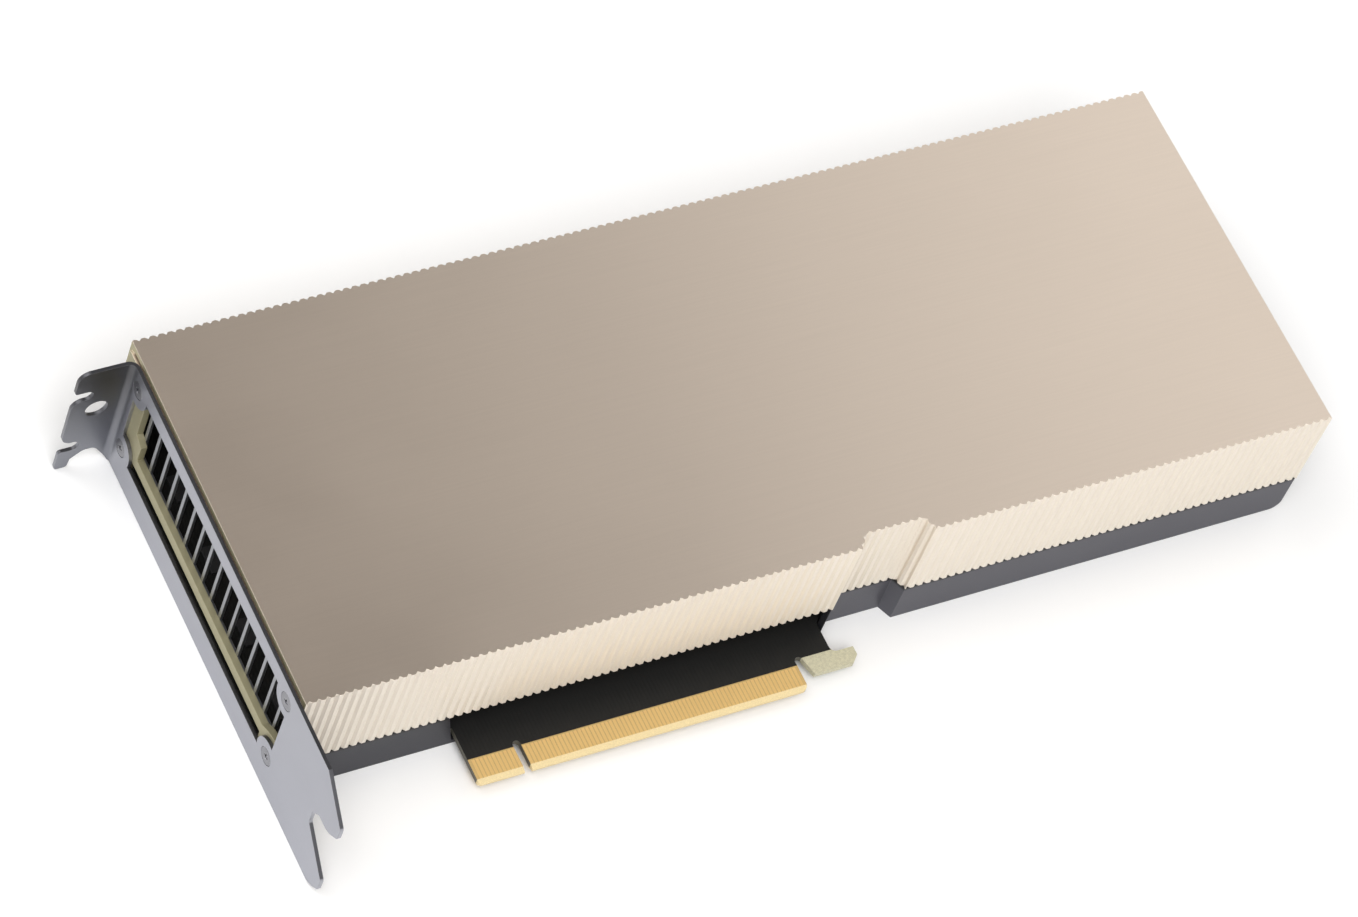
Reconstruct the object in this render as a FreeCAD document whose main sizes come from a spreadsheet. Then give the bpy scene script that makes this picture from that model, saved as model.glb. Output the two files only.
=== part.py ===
import FreeCAD, Part
import math
import os
from types import SimpleNamespace

import Sketcher
from FreeCAD import Placement, Rotation, Vector

# A dual-slot, passively cooled accelerator card: a ribbed cover and a folded tray
# closed round a board, its processor, a heat sink, and a slotted bracket.
# Frame, in millimetres: X runs from the bracket to the tail and is 0 at the middle of
# the key notch, Y runs from the contact edge (0) to the far long side, and Z runs up
# from the middle of the board's thickness.

SIZES = {
    # board and its edge connector
    "board_thickness": 1.57,
    "board_bracket_gap": 3.0,
    "board_tail_gap": 2.0,
    "board_wall_gap": 0.3,
    "tab_left_length": 11.65,
    "tab_right_length": 71.65,
    "tab_corner": 0.7,
    "key_width": 1.9,
    "key_depth": 8.0,
    "bevel_length": 1.3,
    "bevel_depth": 0.45,
    "contact_pitch": 1.0,
    "contact_width": 0.7,
    "contact_length": 5.0,
    "contact_thickness": 0.05,
    "hook_slot_width": 2.0,
    "hook_slot_depth": 8.6,
    "hook_tip": 3.3,
    "hook_lean": 1.2,
    "hook_length": 11.5,
    "hook_height": 4.1,
    "hook_nose": 1.8,
    "neck_width": 7.6,
    "neck_radius": 1.6,
    "tab_end_radius": 1.6,
    # cover
    "cover_width": 99.1,
    "cover_height": 26.12,
    "cover_near_side": 13.53,
    "cover_bracket_gap": 1.5,
    "cover_wall": 2.2,
    "cover_roof": 1.5,
    "rib_pitch": 2.192,
    "rib_depth": 0.6,
    "rib_groove": 1.3,
    "recess_start": 82.9,
    "recess_length": 19.4,
    "recess_depth": 3.5,
    "recess_near_slope": 2.7,
    "recess_far_slope": 1.7,
    # the cover's end frame, behind the bracket
    "frame_depth": 1.66,
    "frame_height": 32.2,
    "frame_foot": 4.6,
    "frame_side_gap": 0.9,
    "frame_window_near": 18.2,
    "frame_window_far": 99.9,
    "frame_window_top": 35.0,
    "rail_low": 10.0,
    "rail_height": 3.0,
    "frame_block_width": 3.0,
    "frame_block_height": 6.4,
    "frame_block_slope": 1.5,
    "frame_ear_width": 6.2,
    "frame_ear_height": 2.75,
    "frame_ear_slope": 1.0,
    # tray
    "tray_height": 12.81,
    "tray_floor": 1.5,
    "tray_wall": 1.2,
    "tray_inset": 0.2,
    "tray_tail_radius": 3.0,
    "tray_board_gap": 0.99,
    "tray_opening_start": -12.9,
    "tray_opening_slant": 3.2,
    # bracket
    "key_to_bracket": 58.6,
    "bracket_thickness": 0.94,
    "bracket_low": 0.1,
    "bracket_width": 38.0,
    "bracket_tip": 13.2,
    "flange_seat": 107.2,
    "bend_radius": 1.6,
    "tongue_spacing": 22.3,
    "tongue_width": 15.7,
    "tongue_shoulder": 9.4,
    "tongue_tip_start": 3.2,
    "tongue_tip_end": 7.0,
    "tongue_tip_radius": 1.3,
    "tongue_side_radius": 5.0,
    "fork_depth": 2.6,
    "fork_width": 4.2,
    "fork_slope": 2.4,
    "window_low": 8.1,
    "window_height": 25.4,
    "window_near": 17.3,
    "window_far": 103.8,
    "ear_radius": 4.7,
    "bracket_screw_near": 18.5,
    "bracket_screw_far": 103.2,
    "bracket_screw_low": 9.4,
    "bracket_screw_high": 32.9,
    "bracket_screw_radius": 1.25,
    "bracket_head_radius": 2.3,
    "bracket_screw_length": 2.6,
    # flange at the bracket's far end
    "flange_length": 13.2,
    "flange_corner": 3.0,
    "flange_notch_radius": 1.65,
    "flange_notch_depth": 4.8,
    "flange_notch_high": 28.8,
    "flange_notch_spacing": 20.32,
    "flange_finger_radius": 2.8,
    "flange_finger_tip": 0.8,
    "flange_hole_center": 6.6,
    "flange_hole_radius": 2.75,
    "flange_hole_high": 22.6,
    "arch_start": 3.1,
    "arch_spring": 3.0,
    "arch_lean": 0.4,
    "arch_height": 5.6,
    "arch_top_start": 6.3,
    "arch_top_end": 9.2,
    "arch_end": 12.9,
    "arch_radius": 2.4,
    # vent grille
    "grille_thickness": 0.8,
    "grille_low": 10.2,
    "grille_height": 26.6,
    "grille_pitch": 5.06,
    "grille_bar": 1.0,
    "grille_first_slot": 20.17,
    "grille_slots": 17,
    "grille_slot_low": 2.2,
    "grille_slot_height": 23.4,
    "grille_side_gap": 2.4,
    # processor package
    "processor_x": 75.0,
    "processor_y": 62.0,
    "substrate_size": 55.0,
    "substrate_thickness": 1.2,
    "die_length": 26.0,
    "die_width": 32.0,
    "die_thickness": 0.8,
    "memory_length": 8.0,
    "memory_width": 10.0,
    "memory_gap": 0.8,
    "memory_pitch": 11.0,
    "memory_per_side": 3,
    "paste_thickness": 0.12,
    # heat sink
    "sink_start": -34.0,
    "sink_length": 224.0,
    "sink_tail_room": 21.2,
    "sink_near": 20.5,
    "sink_width": 86.0,
    "base_height": 4.6,
    "base_thickness": 3.0,
    "pedestal_size": 58.0,
    "ridge_length": 8.0,
    "ridge_width": 54.0,
    "fin_pitch": 2.53,
    "fin_thickness": 0.5,
    "fin_roof_gap": 0.15,
    # parts of the power supply
    "stage_offset": 37.0,
    "stage_length": 5.0,
    "stage_width": 6.0,
    "stage_height": 0.9,
    "pad_thickness": 0.6,
    "phase_pitch": 8.4,
    "phases_per_side": 6,
    "choke_offset": 47.0,
    "choke_size": 6.6,
    "choke_height": 4.0,
    "capacitor_gap": 8.0,
    "capacitor_first": 26.0,
    "capacitor_pitch": 11.0,
    "capacitors": 6,
    "capacitor_radius": 4.0,
    "capacitor_height": 9.0,
    "controller_x": -46.0,
    "controller_first": 32.0,
    "controller_pitch": 20.0,
    "controllers": 4,
    "controller_size": 7.0,
    "controller_height": 0.9,
    # power socket at the tail
    "socket_length": 14.0,
    "socket_width": 18.8,
    "socket_height": 9.6,
    "socket_near": 88.0,
    "socket_setback": 0.3,
    "socket_notch_gap": 0.5,
    "cavity_pitch": 4.2,
    "cavity_size": 3.5,
    "cavity_depth": 9.0,
    "cavity_columns": 4,
    "pin_size": 1.0,
    "pin_length": 7.0,
    # screws through the tray and the board into the heat sink
    "screw_radius": 1.25,
    "screw_head_radius": 2.3,
    "screw_head_height": 1.1,
    "screw_bite": 2.2,
    "screw_fit": 0.05,
    "screw_passage": 0.15,
    "spacer_size": 4.6,
    "film_thickness": 0.25,
    "film_margin": 1.0,
    "screw_near_y": 25.2,
    "screw_far_y": 102.0,
    "screw_inset": 5.0,
    "screw_columns": 3,
    "spring_screw_x": 33.0,
    "spring_screw_y": 32.0,
}


class Size:
    """A length with the sheet formula it comes from, so that sums stay bound to the sheet."""

    def __init__(self, value, formula):
        self.value = float(value)
        self.formula = formula

    def __float__(self):
        return self.value

    def __add__(self, other):
        other = as_size(other)
        return Size(self.value + other.value, f"({self.formula} + {other.formula})")

    def __sub__(self, other):
        other = as_size(other)
        return Size(self.value - other.value, f"({self.formula} - {other.formula})")

    def __mul__(self, factor):
        return Size(self.value * factor, f"({self.formula} * {factor})")

    def __truediv__(self, divisor):
        return Size(self.value / divisor, f"({self.formula} / {divisor})")

    def __neg__(self):
        return Size(-self.value, f"(-1 * {self.formula})")


def as_size(number):
    """A plain number as a Size; a Size stays as it is."""
    return number if isinstance(number, Size) else Size(number, str(number))


doc = FreeCAD.newDocument("accelerator_card")
sheet = doc.addObject("Spreadsheet::Sheet", "sizes")
for row, (alias, value) in enumerate(SIZES.items(), start=1):
    sheet.set(f"A{row}", alias)
    sheet.set(f"B{row}", str(value))
    sheet.setAlias(f"B{row}", alias)
doc.recompute()
s = SimpleNamespace(**{alias: Size(sheet.get(alias), f"sizes.{alias}") for alias in SIZES})

# Two places nearer than this are the same place.
NEAR = 1e-4
# Cuts run this far past the faces that they go through.
OVER = Size(1.0, "1.0")
ZERO = Size(0.0, "0.0")

# Round pieces that repeat out of sight have this many sides.
CAN_SIDES = 16
SCREW_SIDES = 12
BRACKET_SCREW_SIDES = 16

# Heights
board_top = s.board_thickness / 2
board_bottom = -board_top
floor_top = board_bottom - s.tray_board_gap
tray_bottom = floor_top - s.tray_floor
cover_bottom = tray_bottom + s.tray_height
roof_bottom = cover_bottom + s.cover_height - s.cover_roof
bracket_bottom = tray_bottom + s.bracket_low
base_bottom = board_top + s.base_height
base_top = base_bottom + s.base_thickness
substrate_top = board_top + s.substrate_thickness
die_top = substrate_top + s.die_thickness
paste_top = die_top + s.paste_thickness
# Places along the card
bracket_face = -s.key_to_bracket
bracket_back = bracket_face + s.bracket_thickness
frame_back = bracket_back + s.frame_depth
cover_start = bracket_face + s.cover_bracket_gap
sink_end = s.sink_start + s.sink_length
tail = sink_end + s.sink_tail_room
tab_left = -(s.tab_left_length + s.key_width / 2)
tab_right = s.tab_right_length + s.key_width / 2
# Places across the card
cover_far_side = s.cover_near_side + s.cover_width
sink_far = s.sink_near + s.sink_width


def bind(item, place, size):
    """Tie a property of a document object to the sheet."""
    item.setExpression(place, as_size(size).formula)


def new_body(name, height=ZERO):
    """An empty body whose own origin lies at a height above the board's middle."""
    body = doc.addObject("PartDesign::Body", name)
    body.Label = name
    bind(body, "Placement.Base.z", height)
    return body


def plane_of(body, role):
    """One of the body's own origin planes or axes."""
    return next(item for item in body.Origin.OriginFeatures if item.Role == role)


def new_sketch(body, role, name, offset=ZERO):
    """A sketch on one of the body's origin planes, moved along that plane's normal."""
    sketch = body.newObject("Sketcher::SketchObject", name)
    sketch.AttachmentSupport = (plane_of(body, role), [""])
    sketch.MapMode = "FlatFace"
    sketch.AttachmentOffset = Placement(Vector(0, 0, float(offset)), Rotation())
    bind(sketch, "AttachmentOffset.Base.z", offset)
    return sketch


def pin_point(sketch, curve, point, place):
    """Hold one point of a curve at sheet-driven coordinates."""
    for kind, size in zip(("DistanceX", "DistanceY"), place):
        size = as_size(size)
        rule = Sketcher.Constraint(kind, -1, 1, curve, point, float(size))
        index = sketch.addConstraint(rule)
        sketch.setExpression(f"Constraints[{index}]", size.formula)


def draw_polygon(sketch, corners):
    """A closed outline of straight lines with every corner pinned."""
    first = sketch.GeometryCount
    points = [Vector(float(x), float(y), 0) for x, y in corners]
    count = len(points)
    lines = [Part.LineSegment(points[i], points[(i + 1) % count]) for i in range(count)]
    sketch.addGeometry(lines, False)
    joins = [
        Sketcher.Constraint("Coincident", first + i, 2, first + (i + 1) % count, 1)
        for i in range(count)
    ]
    sketch.addConstraint(joins)
    for i, corner in enumerate(corners):
        pin_point(sketch, first + i, 1, corner)


def draw_rectangle(sketch, x_low, x_high, y_low, y_high):
    """A rectangle from its four sides' places."""
    draw_polygon(sketch, [(x_low, y_low), (x_high, y_low), (x_high, y_high), (x_low, y_high)])


def draw_circle(sketch, center, radius):
    """A circle with its centre pinned and its radius bound."""
    middle = Vector(float(center[0]), float(center[1]), 0)
    curve = sketch.addGeometry(Part.Circle(middle, Vector(0, 0, 1), float(radius)), False)
    pin_point(sketch, curve, 3, center)
    index = sketch.addConstraint(Sketcher.Constraint("Radius", curve, float(radius)))
    sketch.setExpression(f"Constraints[{index}]", as_size(radius).formula)


def add_pad(body, sketch, name, length):
    """Material from the sketch along its plane's normal."""
    pad = body.newObject("PartDesign::Pad", name)
    pad.Profile = sketch
    bind(pad, "Length", length)
    return pad


def add_pocket(body, sketch, name, length, along_normal=False):
    """A cut from the sketch, against its plane's normal unless along_normal is set."""
    pocket = body.newObject("PartDesign::Pocket", name)
    pocket.Profile = sketch
    pocket.Reversed = along_normal
    bind(pocket, "Length", length)
    return pocket


def edges_at(shape, corner):
    """Names of the straight edges at a corner, whose place is None along the edge."""
    names = []
    for number, edge in enumerate(shape.Edges, start=1):
        box = edge.BoundBox
        lows = (box.XMin, box.YMin, box.ZMin)
        highs = (box.XMax, box.YMax, box.ZMax)
        held = [(float(at), low, high) for at, low, high in zip(corner, lows, highs) if at is not None]
        if all(abs(low - at) < NEAR and abs(high - at) < NEAR for at, low, high in held):
            names.append(f"Edge{number}")
    return names


def add_fillet(body, name, radius, *corners):
    """Round the edges of a body that run through the given corners."""
    doc.recompute()
    base = body.Tip
    names = [edge for corner in corners for edge in edges_at(base.Shape, corner)]
    fillet = body.newObject("PartDesign::Fillet", name)
    fillet.Base = (base, names)
    bind(fillet, "Radius", radius)
    return fillet


def repeat_along(body, feature, axis_role, name, pitch, count):
    """Equal copies of a feature along one of the body's axes."""
    pattern = body.newObject("PartDesign::LinearPattern", name)
    pattern.Originals = [feature]
    pattern.Direction = (plane_of(body, axis_role), [""])
    pattern.Mode = "Spacing"
    bind(pattern, "Offset", pitch)
    pattern.Occurrences = count
    body.Tip = pattern
    return pattern


def cut_from(name, base, tool):
    """The sub-part that is left of a base object once a tool object is cut out of it."""
    cut = doc.addObject("Part::Cut", name)
    cut.Label = name
    cut.Base = base
    cut.Tool = tool
    return cut


def group_of(name, shapes):
    """A sub-part of equal, separate pieces."""
    group = doc.addObject("Part::Feature", name)
    group.Label = name
    group.Shape = Part.Compound(shapes)
    group.Placement = Placement()
    return group


def block(x_low, y_low, z_low, length, width, height):
    """A box from its low corner and its three sizes."""
    corner = Vector(float(x_low), float(y_low), float(z_low))
    return Part.makeBox(float(length), float(width), float(height), corner)


def centred_block(x, y, z_low, length, width, height):
    """A box centred on a point of the board, standing on a height."""
    return block(float(x) - float(length) / 2, float(y) - float(width) / 2, z_low, length, width, height)


def long_side_outline(inset, start, end):
    """The plan of the cover and the tray, set in from the cover's outer faces.

    The recess in the near long side keeps its shape: its slopes move with the inset.
    """
    near = s.cover_near_side + inset
    far = cover_far_side - inset
    recess_floor = s.cover_near_side + s.recess_depth + inset
    recess_end = s.recess_start + s.recess_length
    return [
        (start, near),
        (s.recess_start - inset / 2, near),
        (s.recess_start - inset / 2 + s.recess_near_slope, recess_floor),
        (recess_end + inset / 2 - s.recess_far_slope, recess_floor),
        (recess_end + inset / 2, near),
        (end, near),
        (end, far),
        (start, far),
    ]


def rib_grooves(start, end):
    """Corners of the grooves in one straight side, whose wall lies on the left of the way."""
    origin = Vector(float(start[0]), float(start[1]), 0)
    way = Vector(float(end[0]), float(end[1]), 0) - origin
    length = way.Length
    way.normalize()
    inward = Vector(-way.y, way.x, 0)
    pitch = float(s.rib_pitch)
    half = float(s.rib_groove) / 2
    count = int((length - 2 * half) / pitch) + 1
    margin = (length - pitch * (count - 1)) / 2
    corners = []
    for i in range(count):
        middle = origin + way * (margin + pitch * i)
        corners += [middle - way * half, middle + inward * float(s.rib_depth), middle + way * half]
    return corners


def ribbed_outline():
    """The cover's plan with grooves in both long walls and all round the recess."""
    plan = long_side_outline(ZERO, cover_start, tail)
    grooved_sides = (0, 1, 2, 3, 4, 6)
    corners = []
    for side, (x, y) in enumerate(plan):
        corners.append(Vector(float(x), float(y), 0))
        if side in grooved_sides:
            corners += rib_grooves(plan[side], plan[(side + 1) % len(plan)])
    return corners


def build_cover():
    """One shell: a plain roof, two ribbed long walls, and the end frame behind the bracket."""
    body = new_body("cover", cover_bottom)
    outline = new_sketch(body, "XY_Plane", "cover_outline")
    points = ribbed_outline()
    sides = [Part.LineSegment(a, b) for a, b in zip(points, points[1:] + points[:1])]
    outline.addGeometry(sides, False)
    add_pad(body, outline, "cover_block", s.cover_height)
    inside = new_sketch(body, "XY_Plane", "cover_inside")
    draw_polygon(inside, long_side_outline(s.cover_wall, cover_start - OVER, tail + OVER))
    add_pocket(body, inside, "cover_cavity", s.cover_height - s.cover_roof, along_normal=True)
    build_end_frame(body)
    return body


def build_end_frame(body):
    """The frame round the vent: posts at both long walls, a rail below, and ears for screws."""
    low = tray_bottom - cover_bottom
    foot = low + s.frame_foot
    rail_bottom = low + s.rail_low
    rail_top = rail_bottom + s.rail_height
    top = foot + s.frame_height
    wall_near = s.cover_near_side + s.cover_wall / 2
    wall_far = cover_far_side - s.cover_wall / 2
    near = s.cover_near_side + s.tray_inset + s.tray_wall + s.frame_side_gap / 2
    far = cover_far_side - s.tray_inset - s.tray_wall - s.frame_side_gap / 2
    ear = near + s.frame_ear_width + s.rail_height
    ear_top = rail_top + s.frame_ear_height
    window_top = low + s.frame_window_top
    block_edge = s.frame_window_far - s.frame_block_width
    block_top = rail_top + s.frame_block_height
    outline = new_sketch(body, "YZ_Plane", "frame_outline", bracket_back)
    draw_polygon(
        outline,
        [
            (near, foot),
            (near + s.frame_ear_width, foot),
            (ear, foot + s.rail_height),
            (ear, rail_bottom),
            (s.frame_window_far, rail_bottom),
            (s.frame_window_far, foot),
            (far, foot),
            (far, ZERO),
            (wall_far, ZERO),
            (wall_far, top),
            (wall_near, top),
            (wall_near, ZERO),
            (near, ZERO),
        ],
    )
    draw_polygon(
        outline,
        [
            (ear, rail_top),
            (block_edge, rail_top),
            (block_edge, block_top - s.frame_block_slope),
            (s.frame_window_far, block_top),
            (s.frame_window_far, window_top),
            (s.frame_window_near, window_top),
            (s.frame_window_near, ear_top),
            (near + s.frame_ear_width, ear_top - s.frame_ear_slope),
        ],
    )
    add_pad(body, outline, "frame_plate", s.frame_depth)
    holes = new_sketch(body, "YZ_Plane", "frame_screw_holes", bracket_back - OVER)
    for y, z in bracket_screw_places():
        draw_circle(holes, (y, z - cover_bottom), s.bracket_screw_radius + s.screw_fit)
    add_pocket(body, holes, "frame_holes", s.frame_depth + OVER * 2, along_normal=True)


def bracket_screw_places():
    """Y and Z of the four screws that hold the bracket."""
    heights = (bracket_bottom + s.bracket_screw_low, bracket_bottom + s.bracket_screw_high)
    return [(y, z) for y in (s.bracket_screw_near, s.bracket_screw_far) for z in heights]


def build_tray():
    """A folded tray: floor, long walls that carry the cover, and a low wall at the tail."""
    body = new_body("tray_blank", tray_bottom)
    outline = new_sketch(body, "XY_Plane", "tray_outline")
    outer_end = tail - s.tray_inset
    draw_polygon(outline, long_side_outline(s.tray_inset, cover_start, outer_end))
    add_pad(body, outline, "tray_block", s.tray_height)
    inside = new_sketch(body, "XY_Plane", "tray_inside", s.tray_floor)
    inset = s.tray_inset + s.tray_wall
    draw_polygon(inside, long_side_outline(inset, cover_start - OVER, outer_end - s.tray_wall))
    add_pocket(body, inside, "tray_cavity", s.tray_height, along_normal=True)
    add_fillet(body, "tail_bend", s.tray_tail_radius, (outer_end, None, ZERO))
    # The near wall stops either side of the edge connector.
    opening = new_sketch(body, "XZ_Plane", "tray_opening", -(s.cover_near_side - OVER))
    top = s.tray_height + OVER
    draw_polygon(
        opening,
        [
            (s.tray_opening_start, s.tray_floor),
            (s.recess_start, s.tray_floor),
            (s.recess_start, top),
            (s.tray_opening_start - s.tray_opening_slant, top),
        ],
    )
    add_pocket(body, opening, "connector_opening", inset + OVER * 2)
    notch = new_sketch(body, "YZ_Plane", "tray_socket_notch", tail + OVER)
    draw_rectangle(
        notch,
        s.socket_near - s.socket_notch_gap,
        s.socket_near + s.socket_width + s.socket_notch_gap,
        board_bottom - tray_bottom,
        top,
    )
    add_pocket(body, notch, "socket_notch", inset + OVER * 2)
    return cut_from("tray", body, passages)


def build_board():
    """The board with its edge connector: two runs of contacts, the key notch and the hook."""
    body = new_body("board_blank", board_bottom)
    start = bracket_face + s.board_bracket_gap
    end = tail - s.board_tail_gap
    inset = s.tray_inset + s.tray_wall + s.board_wall_gap
    plan = long_side_outline(inset, start, end)
    near = plan[0][1]
    hook_left = tab_right + s.hook_slot_width
    hook_right = hook_left + s.hook_length
    hook_top = s.hook_tip + s.hook_height
    neck_right = hook_left + s.neck_width
    corners = [
        (start, near),
        (tab_left, near),
        (tab_left, s.tab_corner),
        (tab_left + s.tab_corner, ZERO),
        (tab_right, ZERO),
        (tab_right, hook_top),
        (hook_left, hook_top),
        (hook_left + s.hook_lean, s.hook_tip),
        (hook_right, s.hook_tip),
        (hook_right + s.hook_nose, s.hook_tip + s.hook_nose),
        (hook_right + s.hook_nose, hook_top),
        (neck_right, hook_top),
        (neck_right, near),
    ]
    outline = new_sketch(body, "XY_Plane", "board_outline")
    draw_polygon(outline, corners + plan[1:])
    add_pad(body, outline, "board_plate", s.board_thickness)
    add_fillet(body, "neck_round", s.neck_radius, (neck_right, hook_top, None))
    add_fillet(body, "tab_end_round", s.tab_end_radius, (tab_right, ZERO, None))
    # Two round-ended slots: the key notch, and the gap between the tab and the hook.
    for name, x, width, depth in (
        ("key", ZERO, s.key_width, s.key_depth),
        ("hook", tab_right + s.hook_slot_width / 2, s.hook_slot_width, s.hook_slot_depth),
    ):
        straight = new_sketch(body, "XY_Plane", f"{name}_slot")
        draw_rectangle(straight, x - width / 2, x + width / 2, -OVER, depth - width / 2)
        add_pocket(body, straight, f"{name}_cut", s.board_thickness + OVER, along_normal=True)
        end_round = new_sketch(body, "XY_Plane", f"{name}_slot_end")
        draw_circle(end_round, (x, depth - width / 2), width / 2)
        add_pocket(body, end_round, f"{name}_end_cut", s.board_thickness + OVER, along_normal=True)
    bevel = new_sketch(body, "YZ_Plane", "edge_bevel", tab_left - OVER)
    draw_polygon(bevel, [(ZERO, ZERO), (s.bevel_length, ZERO), (ZERO, s.bevel_depth)])
    top = s.board_thickness
    draw_polygon(bevel, [(ZERO, top - s.bevel_depth), (s.bevel_length, top), (ZERO, top)])
    add_pocket(body, bevel, "bevel_cut", tab_right - tab_left + OVER * 2, along_normal=True)
    return cut_from("main_board", body, passages)


def build_edge_contacts():
    """Contact pads on both faces of the tab, at one pitch either side of the key notch."""
    count_left = int(float(s.tab_left_length) / float(s.contact_pitch))
    count_right = int(float(s.tab_right_length) / float(s.contact_pitch))
    pitch = float(s.contact_pitch)
    start_right = float(s.key_width / 2 + s.contact_pitch / 2)
    start_left = float(-(s.key_width / 2 + s.contact_pitch / 2))
    middles = [start_left - pitch * i for i in range(count_left)]
    middles += [start_right + pitch * i for i in range(count_right)]
    half = float(s.contact_width) / 2
    faces = (board_top, board_bottom - s.contact_thickness)
    pads = [
        block(x - half, s.bevel_length, z, s.contact_width, s.contact_length, s.contact_thickness)
        for z in faces
        for x in middles
    ]
    return group_of("edge_contacts", pads)


def tongue_outline(low):
    """One tongue of the fork, from its straight low side round the tip to its slanted side."""
    tip = -s.bracket_tip
    return [
        (-s.tongue_shoulder, low),
        (tip, low + s.tongue_tip_start),
        (tip, low + s.tongue_tip_end),
        (-s.fork_depth, low + s.tongue_width),
    ]


def build_bracket():
    """Sheet bracket for two slots: a window, four screw ears, a fork and a bent flange."""
    body = new_body("io_bracket", bracket_bottom)
    plate = new_sketch(body, "YZ_Plane", "bracket_outline", bracket_face)
    far = s.flange_seat + s.bracket_thickness
    fork_low = s.tongue_width
    fork_high = fork_low + s.fork_width
    low_tongue = tongue_outline(ZERO)
    high_tongue = tongue_outline(s.tongue_spacing)
    fork_end = (-s.fork_depth - s.fork_slope, s.tongue_spacing)
    corners = [(far, s.bracket_width), (far, ZERO), *low_tongue, (-s.fork_depth, fork_high), fork_end]
    draw_polygon(plate, corners + high_tongue)
    add_pad(body, plate, "bracket_plate", s.bracket_thickness)
    tips = [(None, y, z) for tongue in (low_tongue, high_tongue) for y, z in tongue[1:3]]
    add_fillet(body, "tongue_tips", s.tongue_tip_radius, *tips)
    sides = [(None, y, z) for y, z in (low_tongue[0], high_tongue[0])]
    add_fillet(body, "tongue_sides", s.tongue_side_radius, *sides)
    add_fillet(body, "fork_root", s.tongue_tip_radius, (None, -s.fork_depth, fork_low))
    window = new_sketch(body, "YZ_Plane", "vent_window", bracket_face - OVER)
    draw_rectangle(window, s.window_near, s.window_far, s.window_low, s.window_low + s.window_height)
    add_pocket(body, window, "window_cut", s.bracket_thickness + OVER * 2, along_normal=True)
    for number, (y, z) in enumerate(bracket_screw_places(), start=1):
        ear = new_sketch(body, "YZ_Plane", f"screw_ear_{number}", bracket_face)
        draw_circle(ear, (y, z - bracket_bottom), s.ear_radius)
        add_pad(body, ear, f"screw_ear_plate_{number}", s.bracket_thickness)
    holes = new_sketch(body, "YZ_Plane", "bracket_screw_holes", bracket_face - OVER)
    for y, z in bracket_screw_places():
        draw_circle(holes, (y, z - bracket_bottom), s.bracket_head_radius + s.screw_fit)
    add_pocket(body, holes, "bracket_holes", s.bracket_thickness + OVER * 2, along_normal=True)
    build_flange(body)
    return body


def build_flange(body):
    """The flange on the chassis ledge: three fingers, two screw notches and a round hole."""
    edge = bracket_face - s.flange_length
    plane = s.flange_seat + s.bracket_thickness
    outline = new_sketch(body, "XZ_Plane", "flange_outline", -plane)
    draw_rectangle(outline, edge, bracket_back, ZERO, s.bracket_width)
    add_pad(body, outline, "flange_plate", s.bracket_thickness)
    add_fillet(body, "bend_outside", s.bend_radius + s.bracket_thickness, (bracket_back, plane, None))
    add_fillet(body, "bend_inside", s.bend_radius, (bracket_face, s.flange_seat, None))
    below = -(s.flange_seat - s.bend_radius - OVER)
    depth = s.bracket_thickness + s.bend_radius + OVER * 2
    high_notch = s.flange_notch_high
    low_notch = high_notch - s.flange_notch_spacing
    radius = s.flange_notch_radius
    for name, z in (("high", high_notch), ("low", low_notch)):
        center = edge + s.flange_notch_depth - radius
        mouth = new_sketch(body, "XZ_Plane", f"{name}_notch_mouth", below)
        draw_rectangle(mouth, edge - OVER, center, z - radius, z + radius)
        add_pocket(body, mouth, f"{name}_notch_mouth_cut", depth)
        end = new_sketch(body, "XZ_Plane", f"{name}_notch_end", below)
        draw_circle(end, (center, z), radius)
        add_pocket(body, end, f"{name}_notch_end_cut", depth)
    hole = new_sketch(body, "XZ_Plane", "flange_hole", below)
    draw_circle(hole, (bracket_face - s.flange_hole_center, s.flange_hole_high), s.flange_hole_radius)
    add_pocket(body, hole, "flange_hole_cut", depth)
    arch = [
        (edge + s.arch_start, -OVER),
        (edge + s.arch_start, ZERO),
        (edge + s.arch_start + s.arch_lean, s.arch_spring),
        (edge + s.arch_top_start, s.arch_height),
        (edge + s.arch_top_end, s.arch_height),
        (edge + s.arch_end, ZERO),
        (edge + s.arch_end, -OVER),
    ]
    opening = new_sketch(body, "XZ_Plane", "flange_arch", below)
    draw_polygon(opening, arch)
    add_pocket(body, opening, "flange_arch_cut", depth)
    add_fillet(body, "arch_rounds", s.arch_radius, *[(x, None, z) for x, z in arch[3:5]])
    add_fillet(body, "flange_corner_round", s.flange_corner, (edge, None, s.bracket_width))
    add_fillet(body, "middle_finger_rounds", s.flange_finger_radius,
               (edge, None, high_notch - radius), (edge, None, low_notch + radius))
    add_fillet(body, "finger_tips", s.flange_finger_tip,
               (edge, None, high_notch + radius), (edge, None, low_notch - radius),
               (edge, None, ZERO), (edge + s.arch_start, None, ZERO))


def build_bracket_screws():
    """Four flat-headed screws, each flush in the bracket and threaded into the end frame."""
    head_radius = float(s.bracket_head_radius)
    radius = float(s.bracket_screw_radius)
    thickness = float(s.bracket_thickness)
    shank_length = float(s.bracket_screw_length) - thickness
    across = Vector(0, 1, 0)
    quarter_turn = 90
    screws = []
    for y, z in bracket_screw_places():
        head = faceted(Vector(), head_radius, head_radius, thickness, BRACKET_SCREW_SIDES)
        shank = faceted(Vector(0, 0, thickness), radius, radius, shank_length, BRACKET_SCREW_SIDES)
        screw = head.fuse(shank)
        screw.rotate(Vector(), across, quarter_turn)
        screw.translate(Vector(float(bracket_face), float(y), float(z)))
        screws.append(screw)
    return group_of("bracket_screws", screws)


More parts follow.
